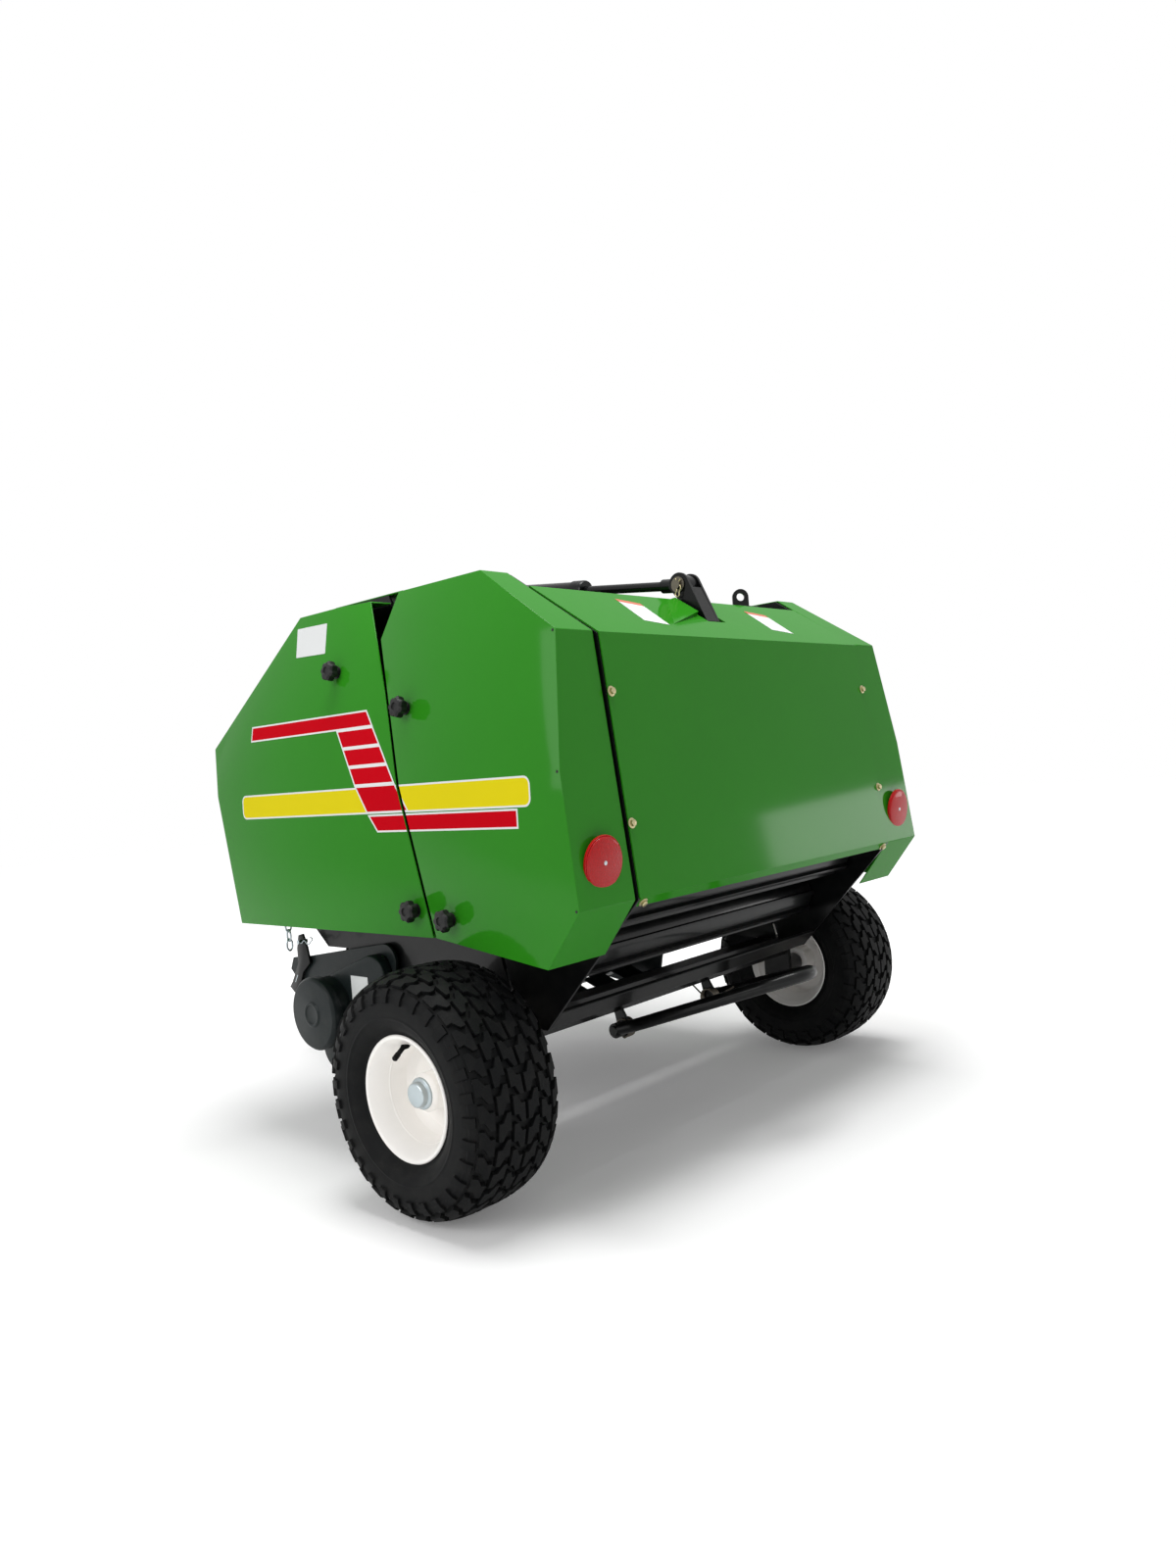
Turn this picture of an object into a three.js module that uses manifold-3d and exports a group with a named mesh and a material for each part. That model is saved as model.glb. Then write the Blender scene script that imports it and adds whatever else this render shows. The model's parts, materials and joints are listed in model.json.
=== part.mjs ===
// Small round baler: a chamber of ribbed rollers between two side walls, on a two-wheel axle,
// with a hinged tailgate, a pickup, a twine box, a drawbar and a parking jack.
//
// Millimetres, x to the right, y forwards, z up. The pieces are drawn round the axle centre;
// the exported group lifts them by the tyre radius and centres the machine's length on y = 0.
import * as THREE from "three";
import { mergeVertices } from "three/addons/utils/BufferGeometryUtils.js";
import Module from "manifold-3d";

const wasm = await Module();
wasm.setup();

// ---------------------------------------------------------------- driving dimensions

const SEAT = 0.3;            // gap between two pieces that are bolted or welded together
const PIN_PLAY = 0.6;        // radial play of a pin in its hole
const CLEAR = 5.5;           // gap kept by a piece that moves past another

// Wheels
const TYRE_RADIUS = 228.5;
const TYRE_WIDTH = 205;
const TYRE_WALL = 14;
const WHEEL_GAP = 73.5;      // from a side wall to the tyre beside it
const RIM_WIDTH = 170;       // between the rim's two edges
const RIM_SEAT_RADIUS = 101.6;
const RIM_FLANGE_RADIUS = 114;
const RIM_SHEET = 4;
const HUB_RADIUS = 36;
const HUB_CAP_RADIUS = 22.5;
const HUB_CAP_INSET = 33;    // from the rim's outer edge to the cap's face
const STUB_RADIUS = 15;
const WHEEL_SIDES = 32;      // the same on rim and tyre, so that their facets lie parallel

// Side walls and covers
const WALL_INNER_X = 459;    // half the width of a bale
const WALL = 6;
const SHEET = 3;
const COVER_GAP = 4;         // from a wall to the inner edge of its cover
const COVER_TOP_Z = 946.5;
const COVER_SILL_Z = 271.5;
const CREASE_Z = 566.5;      // level crease along the side covers
const FACE_TOP_OUT = 70.5;   // how far the cover's face stands out from its inner edge, at the top,
const FACE_CREASE_OUT = 138; // at the crease
const FACE_LOW_OUT = 147;    // and at the lowest corner
const FACE_LOW_Z = 231.5;
const SPLIT_TOP_Y = 153.5;   // the slanting joint between the fixed front and the tailgate
const SPLIT_TOP_Z = 746.5;
const SPLIT_SLOPE = 0.2916;
const SPLIT_GAP = 8.4;       // across the joint, measured along y
const FOLD_TOP_Y = 345;      // a fold runs from here down to the top of the joint
const FOLD_DROP = 18;        // the cover leans in this far beyond its fold
const BOSS_RADIUS = 8;
const FRONT_BOSSES = [[327, 806.5], [65, 322.5]];
const REAR_BOSSES = [[87, 709.5], [-36, 308.5]];

// Tailgate hinge
const HINGE = [191, 863.5];
const HINGE_PIN_RADIUS = 14;
const HINGE_LUG_RADIUS = 30;
const HINGE_LUG_CLEARANCE = 8;
const HINGE_PLATE = 10;
const HINGE_PLATE_RADIUS = 25;
const HINGE_PLATE_FRONT_Y = 262;

// Chamber rollers
const CHAMBER = [72, 513.5];
const ROLLER_CIRCLE = 350;
const ROLLER_RADIUS = 50;
const ROLLER_RIB = 8;
const ROLLER_RIBS = 8;
const ROLLER_SHAFT_RADIUS = 12.5;
const FRONT_ROLLER_ANGLES = [57, 30, 3, -24];
const FLOOR_ROLLER_ANGLE = -85;
const TAILGATE_ROLLERS = 7;
const TAILGATE_ROLLER_FIRST = 86;
const TAILGATE_ROLLER_LAST = 240;

// Tailgate
const PANEL_OVERHANG = 3;    // the panel reaches this far past the inner face of the side plates
const PANEL_BOTTOM = [-367, 334.5];
const PANEL_CREASE = [-320, 806.5];
const PANEL_SHOULDER = [-109, 946.5];
const PANEL_FRONT_Y = 60;
const PANEL_DROP = 32;        // the panel's level top lies this far below the shoulder of the side plates
const PANEL_LIP = 16;         // forwards and downwards
const TAILGATE_FOOT = [-113, 74.5];
const BEAM = 50;             // the square tubes that tie the side plates
const TAILGATE_BEAM_Y = -180;
const TAILGATE_BEAM_ROOM = 8.3;    // from the beam to the roller below it
const CROSSBAR_WIDTH = 50;
const CROSSBAR_THICKNESS = 8;
const REFLECTOR_RADIUS = 48;
const REFLECTOR_THICKNESS = 9;
const REFLECTOR_Z = 405.5;

// Tailgate cylinder
const CYLINDER_FRONT = [412, 1016.5];
const CYLINDER_REAR = [-172, 943.5];
const BARREL_RADIUS = 22;
const BARREL_LENGTH = 300;   // from the front pin to the gland
const ROD_RADIUS = 10.5;
const ROD_OVERLAP = 20;      // how far the rod stays in the barrel at full length
const EYE_RADIUS = 22;
const EYE_WIDTH = 32;
const EAR = 7;
const EAR_RADIUS = 26;
const EAR_SIDE_PLAY = 0.5;
const CYLINDER_PIN_RADIUS = 10;
const PANEL_SLOT_HALF = 32;
const PANEL_SLOT_REAR_Y = -250;

// Hood, top beam and twine box
const HOOD_REAR_Y = 215;
const HOOD_FRONT_Y = 456;
const HOOD_Z = 964.5;
const HOOD_SLOT_HALF = 45;
const HOOD_SLOT_FRONT_Y = 440;
const TOP_BEAM_Z = 920;
const LID_HINGE = [470, 935];
const LID_ROD_RADIUS = 7;
const LID_THICKNESS = 4;
const LID_START = [472, 941];
const LID_END = [800, 676.5];
const LID_LIP = 40;
const TWINE_BOX_REAR_Y = 490;
const TWINE_BOX_FRONT_Y = 780;
const TWINE_BOX_FLOOR_Z = 611.8;
const TWINE_BOX_SHEET = 4;

// Axle and front frame
const AXLE_BEAM = 50;
const AXLE_BEAM_BOTTOM_Z = 36.5;
const DROP_PLATE_OUT = 52;   // from a side wall to the outer face of the axle's drop plate
const DROP_PLATE = 12;
const CROSSBEAM = 80;
const CROSSBEAM_REAR_Y = 560;
const CROSSBEAM_BOTTOM_Z = 351.5;
const DRAWBAR_WIDTH = 70;
const DRAWBAR_DEPTH = 70;
const DRAWBAR_END_Y = 1150;
const DRAWBAR_END_Z = 191.5;
const HITCH_LENGTH = 110;
const HITCH_PLATE = 12;
const HITCH_HOLE_RADIUS = 13;
const GEARBOX = { halfWidth: 70, length: 120, height: 130, shaftZ: 70 };
const INPUT_SHAFT = { radius: 17.5, length: 90, collarRadius: 27, collar: 20, seat: 30 };

// Jack
const JACK_Y = 1040;
const JACK_LEG_RADIUS = 21;
const JACK_TUBE_WALL = 4.5;
const JACK_TUBE_BOTTOM_Z = 60;
const JACK_TUBE_TOP_Z = 440;
const JACK_STROKE = 200;
const JACK_FOOT = 120;
const JACK_FOOT_THICKNESS = 8;
const JACK_STANDOFF = 14;

// Pickup
const PICKUP_PIVOT = [360, 180];
const PICKUP_PIN_RADIUS = 12;
const PICKUP_PLATE_GAP = 7;  // from a side wall to the pickup's side plate
const PICKUP_PLATE = 8;
const REEL = [537, 71.5];
const REEL_TINE_RADIUS = 140;
const REEL_BAR_CIRCLE = 78;
const REEL_BAR_RADIUS = 9;
const REEL_TUBE_RADIUS = 22;
const REEL_SHAFT_RADIUS = 15;
const REEL_BARS = 4;
const REEL_DISC = 8;
const BANDS = 8;
const BAND_GAP = 34;
const BAND_RADIUS = 111;
const BAND_TUBE = [400, -40];
const BAND_TUBE_RADIUS = 14;
const GUARD_TUBE = [692, 140];
const GUARD_TUBE_RADIUS = 12;
const GUARD_ROD_RADIUS = 4;
const DRIVE_COVER_RADIUS = 82.5;
const DRIVE_COVER_DEPTH = 80;

// Bale ramp
const RAMP_LUG_X = 158;
const RAMP_LUG = 8;
const RAMP_PIVOT = [-38, 1.5];
const RAMP_PIN_RADIUS = 7.6;
const RAMP_EYE_RADIUS = 16;
const RAMP_EYE_WIDTH = 24;
const RAMP_TUBE_RADIUS = 13.5;
const RAMP_APEX = [-402, 112.5];

// ---------------------------------------------------------------- sizes that follow

const WALL_OUTER_X = WALL_INNER_X + WALL;
const COVER_INNER_X = WALL_OUTER_X + COVER_GAP;
const WHEEL_X = WALL_OUTER_X + WHEEL_GAP + TYRE_WIDTH / 2;
const DROP_PLATE_OUTER_X = WALL_OUTER_X + DROP_PLATE_OUT;
const splitY = (z) => SPLIT_TOP_Y - SPLIT_SLOPE * (SPLIT_TOP_Z - z);
const FRONT_Y = DRAWBAR_END_Y + HITCH_LENGTH;
const REAR_Y = RAMP_APEX[0] - RAMP_TUBE_RADIUS;

// Half width of the side covers' face at a height.
function faceX(z) {
  const lowSlope = (FACE_LOW_OUT - FACE_CREASE_OUT) / (CREASE_Z - FACE_LOW_Z);
  const topSlope = (FACE_CREASE_OUT - FACE_TOP_OUT) / (COVER_TOP_Z - CREASE_Z);
  const slope = z > CREASE_Z ? topSlope : lowSlope;
  return COVER_INNER_X + FACE_CREASE_OUT + (CREASE_Z - z) * slope;
}

// ---------------------------------------------------------------- materials

const paint = (color, roughness = 0.3, metalness = 0.1) =>
  new THREE.MeshStandardMaterial({ color, roughness, metalness });
const GREEN = paint(0x41892f, 0.25);
const BLACK = paint(0x14161a, 0.35);
const ANTHRACITE = paint(0x2b3236, 0.45);
const CREAM = paint(0xe9e2d4, 0.35);
const RUBBER = paint(0x17181a, 0.85, 0);
const STEEL = paint(0xb9bdc2, 0.3, 0.9);
const RED = paint(0xb81f1c, 0.2, 0);

// ---------------------------------------------------------------- solids

const X_AXIS = new THREE.Vector3(1, 0, 0);
const Y_AXIS = new THREE.Vector3(0, 1, 0);
const Z_AXIS = new THREE.Vector3(0, 0, 1);
const ALONG_X = new THREE.Matrix4().makeBasis(Y_AXIS, Z_AXIS, X_AXIS);
const ALONG_Y = new THREE.Matrix4().makeBasis(X_AXIS, Z_AXIS, Y_AXIS.clone().negate());
const LATHE_TO_X = new THREE.Matrix4().makeBasis(Z_AXIS, X_AXIS, Y_AXIS);

function flipped(geometry) {
  const index = geometry.index.array;
  for (let i = 0; i < index.length; i += 3) [index[i], index[i + 1]] = [index[i + 1], index[i]];
  return geometry;
}

function signedVolume(geometry) {
  const [a, b, c] = [new THREE.Vector3(), new THREE.Vector3(), new THREE.Vector3()];
  const { position } = geometry.attributes;
  const index = geometry.index.array;
  let volume = 0;
  for (let i = 0; i < index.length; i += 3) {
    a.fromBufferAttribute(position, index[i]);
    b.fromBufferAttribute(position, index[i + 1]);
    c.fromBufferAttribute(position, index[i + 2]);
    volume += a.dot(b.cross(c)) / 6;
  }
  return volume;
}

// A closed geometry as a manifold solid with its faces pointing out.
function solid(geometry) {
  geometry.deleteAttribute("normal");
  geometry.deleteAttribute("uv");
  const merged = mergeVertices(geometry, 1e-3);
  if (signedVolume(merged) < 0) flipped(merged);
  return new wasm.Manifold(new wasm.Mesh({
    numProp: 3,
    vertProperties: new Float32Array(merged.attributes.position.array),
    triVerts: new Uint32Array(merged.index.array),
  }));
}

function geometryOf(manifold) {
  const mesh = manifold.getMesh();
  const geometry = new THREE.BufferGeometry();
  geometry.setAttribute("position", new THREE.BufferAttribute(mesh.vertProperties, 3));
  geometry.setIndex(new THREE.BufferAttribute(mesh.triVerts, 1));
  return geometry;
}

const join = (...parts) => parts.flat().reduce((sum, part) => sum.add(part));
const mirroredX = (geometry) => flipped(geometry.clone().scale(-1, 1, 1));

function box(x0, x1, y0, y1, z0, z1) {
  const geometry = new THREE.BoxGeometry(x1 - x0, y1 - y0, z1 - z0);
  return solid(geometry.translate((x0 + x1) / 2, (y0 + y1) / 2, (z0 + z1) / 2));
}

// A round bar from one point to another.
function bar(radius, from, to, sides = 16) {
  const [start, end] = [new THREE.Vector3(...from), new THREE.Vector3(...to)];
  const geometry = new THREE.CylinderGeometry(radius, radius, start.distanceTo(end), sides);
  const turn = new THREE.Quaternion().setFromUnitVectors(Y_AXIS, end.clone().sub(start).normalize());
  geometry.applyQuaternion(turn);
  const middle = start.clone().lerp(end, 0.5);
  return solid(geometry.translate(middle.x, middle.y, middle.z));
}

const barX = (radius, x0, x1, [y, z], sides = 16) => bar(radius, [x0, y, z], [x1, y, z], sides);

const shapeOf = (outline) =>
  outline instanceof THREE.Shape ? outline : new THREE.Shape(outline.map(([a, b]) => new THREE.Vector2(a, b)));

function extruded(outline, depth, curveSegments = 8) {
  return new THREE.ExtrudeGeometry(shapeOf(outline), { depth, bevelEnabled: false, curveSegments });
}

// An outline of [y, z] points drawn out along x.
function prismX(outline, x0, x1, curveSegments) {
  return solid(extruded(outline, x1 - x0, curveSegments).applyMatrix4(ALONG_X).translate(x0, 0, 0));
}

// An outline of [x, z] points drawn out along y.
function prismY(outline, y0, y1, curveSegments) {
  return solid(extruded(outline, y1 - y0, curveSegments).applyMatrix4(ALONG_Y).translate(0, y1, 0));
}

function prismZ(outline, z0, z1, curveSegments) {
  return solid(extruded(outline, z1 - z0, curveSegments).translate(0, 0, z0));
}

// A profile of [radius, x] points turned round the x axis.
function turnedX(profile, sides) {
  const points = profile.map(([radius, x]) => new THREE.Vector2(radius, x));
  return solid(new THREE.LatheGeometry(points, sides).applyMatrix4(LATHE_TO_X));
}

// A round section swept along a smooth curve through the points.
function swept(radius, points, steps, sides = 10) {
  const path = new THREE.CatmullRomCurve3(points.map((point) => new THREE.Vector3(...point)), false, "centripetal");
  const section = new THREE.Shape(
    Array.from({ length: sides }, (_, i) => {
      const angle = (2 * Math.PI * i) / sides;
      return new THREE.Vector2(radius * Math.cos(angle), radius * Math.sin(angle));
    }),
  );
  return solid(new THREE.ExtrudeGeometry(section, { extrudePath: path, steps, bevelEnabled: false }));
}

// Moves each edge of an anticlockwise outline inwards by its own distance; below zero is outwards.
function inset(outline, distances) {
  const lines = outline.map(([a, b], i) => {
    const [c, d] = outline[(i + 1) % outline.length];
    const length = Math.hypot(c - a, d - b);
    const [ua, ub] = [(c - a) / length, (d - b) / length];
    return { a: a - ub * distances[i], b: b + ua * distances[i], ua, ub };
  });
  return lines.map((line, i) => {
    const before = lines[(i + lines.length - 1) % lines.length];
    const cross = before.ua * line.ub - before.ub * line.ua;
    const along = ((line.a - before.a) * line.ub - (line.b - before.b) * line.ua) / cross;
    return [before.a + before.ua * along, before.b + before.ub * along];
  });
}

// A folded sheet: its outside is the line of points, its thickness lies to the left of the line.
function foldedSheet(points, thickness) {
  const far = 4 * thickness;
  const [first, last] = [points[0], points[points.length - 1]];
  const closing = [[last[0] + far, last[1] + far], [first[0] + far, first[1] + far]];
  const moved = inset([...points, ...closing], [...points.slice(1).map(() => thickness), 0, 0, 0]);
  const inner = moved.slice(0, points.length);
  inner[0] = offsetPoint(points[0], points[1], points[0], thickness);
  inner[points.length - 1] = offsetPoint(points[points.length - 2], last, last, thickness);
  return [...points, ...inner.reverse()];
}

// A point moved to the left of the line from one point to another.
function offsetPoint([a, b], [c, d], [p, q], distance) {
  const length = Math.hypot(c - a, d - b);
  return [p - ((d - b) / length) * distance, q + ((c - a) / length) * distance];
}

const onCircle = ([y, z], radius, degrees) => {
  const angle = THREE.MathUtils.degToRad(degrees);
  return [y + radius * Math.cos(angle), z + radius * Math.sin(angle)];
};

// ---------------------------------------------------------------- assembly

const machine = new THREE.Group();

function place(name, shape, material, [x, y, z] = [0, 0, 0]) {
  const geometry = shape instanceof THREE.BufferGeometry ? shape : geometryOf(shape);
  const mesh = new THREE.Mesh(geometry, material);
  mesh.name = name;
  mesh.position.set(x, y, z);
  machine.add(mesh);
  return mesh;
}

// A right-hand piece and its mirror image.
function placePair(name, shape, material, [x, y, z] = [0, 0, 0]) {
  const geometry = geometryOf(shape);
  place(`${name}_right`, geometry, material, [x, y, z]);
  place(`${name}_left`, mirroredX(geometry), material, [-x, y, z]);
}

// ---------------------------------------------------------------- wheels

const RIM_OUTER_X = RIM_WIDTH / 2;
const HUB_FACE_X = RIM_OUTER_X - HUB_CAP_INSET;

function rim() {
  const well = RIM_SEAT_RADIUS - 12;
  const inside = RIM_SEAT_RADIUS - RIM_SHEET;
  const dish = -4;
  return turnedX([
    [0, HUB_FACE_X],
    [HUB_CAP_RADIUS, HUB_FACE_X],
    [HUB_CAP_RADIUS, HUB_FACE_X - 14],
    [HUB_RADIUS, HUB_FACE_X - 14],
    [HUB_RADIUS, dish + RIM_SHEET],
    [well - 14, dish + RIM_SHEET],
    [well - RIM_SHEET, dish + 16],
    [inside, RIM_OUTER_X - 20],
    [RIM_FLANGE_RADIUS - RIM_SHEET, RIM_OUTER_X],
    [RIM_FLANGE_RADIUS, RIM_OUTER_X],
    [RIM_SEAT_RADIUS, RIM_OUTER_X - 9],
    [RIM_SEAT_RADIUS, RIM_OUTER_X - 26],
    [well, RIM_OUTER_X - 36],
    [well, -RIM_OUTER_X + 36],
    [RIM_SEAT_RADIUS, -RIM_OUTER_X + 26],
    [RIM_SEAT_RADIUS, -RIM_OUTER_X + 9],
    [RIM_FLANGE_RADIUS, -RIM_OUTER_X],
    [RIM_FLANGE_RADIUS - RIM_SHEET, -RIM_OUTER_X],
    [inside, -RIM_OUTER_X + 20],
    [well - RIM_SHEET, -RIM_OUTER_X + 38],
    [well - RIM_SHEET, dish],
    [HUB_RADIUS, dish],
    [HUB_RADIUS, -44],
    [STUB_RADIUS + PIN_PLAY, -44],
    [STUB_RADIUS + PIN_PLAY, HUB_FACE_X - 6],
    [0, HUB_FACE_X - 6],
  ], WHEEL_SIDES);
}

function tyre() {
  const half = TYRE_WIDTH / 2;
  const bead = RIM_SEAT_RADIUS + SEAT;
  const beadX = RIM_OUTER_X - 9 - SEAT;
  const over = RIM_FLANGE_RADIUS + SEAT;
  const outer = [
    [bead, beadX - 12], [bead, beadX], [over, RIM_OUTER_X - 1], [over + 30, half - 1],
    [TYRE_RADIUS - 26, half - 5], [TYRE_RADIUS, half - 36],
  ];
  const inner = [
    [TYRE_RADIUS - TYRE_WALL - 6, half - 40], [TYRE_RADIUS - 44, half - TYRE_WALL - 6],
    [over + 26, half - TYRE_WALL - 2],
  ];
  const mirror = (points) => points.map(([radius, x]) => [radius, -x]);
  const profile = [
    ...outer, ...mirror(outer).reverse(), ...mirror(inner).reverse(), ...inner, outer[0],
  ];
  return turnedX(profile, WHEEL_SIDES);
}

placePair("rim", rim(), CREAM, [WHEEL_X, 0, 0]);
placePair("tyre", tyre(), RUBBER, [WHEEL_X, 0, 0]);

// ---------------------------------------------------------------- axle beam

const BEAM_TOP_Z = AXLE_BEAM_BOTTOM_Z + AXLE_BEAM;

function rampLug(x) {
  const outline = new THREE.Shape();
  outline.moveTo(-AXLE_BEAM / 2 + 12, AXLE_BEAM_BOTTOM_Z + 1);
  outline.lineTo(-AXLE_BEAM / 2 - 0.5, AXLE_BEAM_BOTTOM_Z + 20);
  outline.lineTo(RAMP_PIVOT[0] - 18, RAMP_PIVOT[1] + 4);
  outline.absarc(...RAMP_PIVOT, 18, Math.PI, 1.8 * Math.PI, false);
  const pinEnd = Math.sign(x) * (Math.abs(x) + RAMP_LUG / 2 + RAMP_EYE_WIDTH + 4);
  return [
    prismX(outline, x - RAMP_LUG / 2, x + RAMP_LUG / 2, 6),
    barX(RAMP_PIN_RADIUS, x, pinEnd, RAMP_PIVOT, 14),
  ];
}

function axleBeam() {
  const half = AXLE_BEAM / 2;
  const ends = [-1, 1].flatMap((side) => {
    const [inner, outer] = [DROP_PLATE_OUTER_X - DROP_PLATE, DROP_PLATE_OUTER_X].map((x) => side * x);
    const stubEnd = side * (WHEEL_X + HUB_FACE_X - 12);
    return [
      box(Math.min(inner, outer), Math.max(inner, outer), -38, 38, -34, BEAM_TOP_Z),
      barX(STUB_RADIUS, side * (DROP_PLATE_OUTER_X - 2), stubEnd, [0, 0], 20),
      barX(STUB_RADIUS + 9, side * (DROP_PLATE_OUTER_X - 2), side * (WHEEL_X - 44 - CLEAR), [0, 0], 20),
      ...rampLug(side * RAMP_LUG_X),
    ];
  });
  return join(
    box(-DROP_PLATE_OUTER_X + 1, DROP_PLATE_OUTER_X - 1, -half, half, AXLE_BEAM_BOTTOM_Z, BEAM_TOP_Z),
    ...ends,
  );
}

place("axle_beam", axleBeam(), BLACK);

// ---------------------------------------------------------------- fixed side walls

const frontRollers = FRONT_ROLLER_ANGLES.map((angle) => onCircle(CHAMBER, ROLLER_CIRCLE, angle));
const floorRoller = onCircle(CHAMBER, ROLLER_CIRCLE, FLOOR_ROLLER_ANGLE);
const tailgateRollers = Array.from({ length: TAILGATE_ROLLERS }, (_, i) => {
  const share = i / (TAILGATE_ROLLERS - 1);
  return onCircle(CHAMBER, ROLLER_CIRCLE, THREE.MathUtils.lerp(TAILGATE_ROLLER_FIRST, TAILGATE_ROLLER_LAST, share));
});

// Studs on a wall that carry the cover's fixing knobs.
const coverBosses = (places) =>
  places.map(([y, z]) => barX(BOSS_RADIUS, WALL_OUTER_X - 1, faceX(z + BOSS_RADIUS) - SHEET - SEAT, [y, z], 8));

const wallHoles = (places) =>
  places.map((at) => barX(ROLLER_SHAFT_RADIUS + 2 * PIN_PLAY, WALL_INNER_X - 1, WALL_OUTER_X + 1, at, 12));

function fixedWall() {
  const bottomZ = BEAM_TOP_Z + SEAT;
  const outline = [
    [splitY(bottomZ) + SPLIT_GAP / 2, bottomZ],
    [60, bottomZ],
    [300, 130],
    [400, 150],
    [400, 240],
    [436, COVER_SILL_Z + 5],
    [700, COVER_SILL_Z + 5],
    [772, CREASE_Z],
    [800, 680],
    [498, 925],
    [450, HOOD_Z],
    [262, HOOD_Z],
    [230, 901.5],
    [splitY(811.5) + SPLIT_GAP / 2, 811.5],
  ];
  const lugRoom = barX(HINGE_LUG_RADIUS + HINGE_LUG_CLEARANCE, WALL_INNER_X - 1, WALL_OUTER_X + 1, HINGE, 20);
  const plate = prismX(outline, WALL_INNER_X, WALL_OUTER_X).subtract(
    join(lugRoom, ...wallHoles([...frontRollers, floorRoller]),
      barX(LID_ROD_RADIUS + PIN_PLAY, WALL_INNER_X - 1, WALL_OUTER_X + 1, LID_HINGE, 16)),
  );
  return join(plate, hingePlate(), ...coverBosses(FRONT_BOSSES),
    barX(PICKUP_PIN_RADIUS, WALL_OUTER_X - 1, WALL_OUTER_X + PICKUP_PLATE_GAP + PICKUP_PLATE + 6, PICKUP_PIVOT, 20));
}

// The plate outside the wall that carries the tailgate's hinge pin.
function hingePlate() {
  const plateX = WALL_OUTER_X + CLEAR;
  const outline = new THREE.Shape();
  outline.absarc(...HINGE, HINGE_PLATE_RADIUS, 0.5 * Math.PI, 1.5 * Math.PI, false);
  outline.lineTo(HINGE_PLATE_FRONT_Y, HINGE[1] - HINGE_PLATE_RADIUS + 8);
  outline.lineTo(HINGE_PLATE_FRONT_Y, HINGE[1] + HINGE_PLATE_RADIUS + 8);
  return join(
    prismX(outline, plateX, plateX + HINGE_PLATE, 14),
    box(WALL_OUTER_X - 1, plateX + 1, HINGE_PLATE_FRONT_Y - 22, HINGE_PLATE_FRONT_Y,
      HINGE[1] - HINGE_PLATE_RADIUS + 10, HINGE[1] + HINGE_PLATE_RADIUS + 6),
    barX(HINGE_PIN_RADIUS, WALL_INNER_X, plateX + 1, HINGE, 16),
  );
}

placePair("side_wall", fixedWall(), BLACK);

// ---------------------------------------------------------------- side covers

// A half space beyond the plane through three points, moved inwards by a distance.
function beyondPlane(a, b, c, distance) {
  const along = b.clone().sub(a).normalize();
  const normal = along.clone().cross(c.clone().sub(a)).normalize();
  if (normal.x < 0) normal.negate();
  const across = normal.clone().cross(along);
  const slab = new THREE.BoxGeometry(3000, 3000, 400).translate(0, 0, 200);
  const at = a.clone().addScaledVector(normal, -distance);
  return solid(slab.applyMatrix4(new THREE.Matrix4().makeBasis(along, across, normal).setPosition(at)));
}

function coverBlock(outline, innerX, thickness) {
  const section = [
    [innerX, 0], [faceX(0) - thickness, 0], [faceX(CREASE_Z) - thickness, CREASE_Z],
    [faceX(COVER_TOP_Z + 40) - thickness, COVER_TOP_Z + 40], [innerX, COVER_TOP_Z + 40],
  ];
  return prismX(outline, innerX, faceX(0) + 10).intersect(prismY(section, -600, 1100));
}

// A pressed sheet cover, open towards the wall and along its open edges.
function coverShell(outline, openEdges, fold) {
  const distances = outline.map((_, i) => (openEdges.includes(i) ? -20 : SHEET));
  let outer = coverBlock(outline, COVER_INNER_X, 0);
  let inner = coverBlock(inset(outline, distances), COVER_INNER_X - 5, SHEET);
  if (fold) {
    outer = outer.subtract(beyondPlane(...fold, 0));
    inner = inner.subtract(beyondPlane(...fold, SHEET));
  }
  return outer.subtract(inner);
}

const NOTCH_TOP_Y = 250;
const frontCoverOutline = [
  [splitY(COVER_SILL_Z) + SPLIT_GAP / 2, COVER_SILL_Z],
  [710, COVER_SILL_Z],
  [784, CREASE_Z],
  [814, 679.5],
  [483, COVER_TOP_Z],
  [NOTCH_TOP_Y, COVER_TOP_Z],
  [SPLIT_TOP_Y + SPLIT_GAP / 2, SPLIT_TOP_Z],
];
const foldPlane = [
  new THREE.Vector3(faceX(SPLIT_TOP_Z), SPLIT_TOP_Y + SPLIT_GAP / 2, SPLIT_TOP_Z),
  new THREE.Vector3(faceX(COVER_TOP_Z), FOLD_TOP_Y, COVER_TOP_Z),
  new THREE.Vector3(faceX(COVER_TOP_Z) - FOLD_DROP, NOTCH_TOP_Y, COVER_TOP_Z),
];
const rearCoverOutline = [
  [splitY(COVER_SILL_Z) - SPLIT_GAP / 2, COVER_SILL_Z],
  [splitY(857.5) - SPLIT_GAP / 2, 857.5],
  [132, COVER_TOP_Z],
  [-109, COVER_TOP_Z],
  [-311, 809.5],
  [-336, CREASE_Z],
  [-361.5, 332.5],
  [-280, FACE_LOW_Z],
];

placePair("front_cover", coverShell(frontCoverOutline, [5, 6], foldPlane), GREEN);
placePair("rear_cover", coverShell(rearCoverOutline, [0, 1, 7]), GREEN);

// ---------------------------------------------------------------- tailgate

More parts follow.
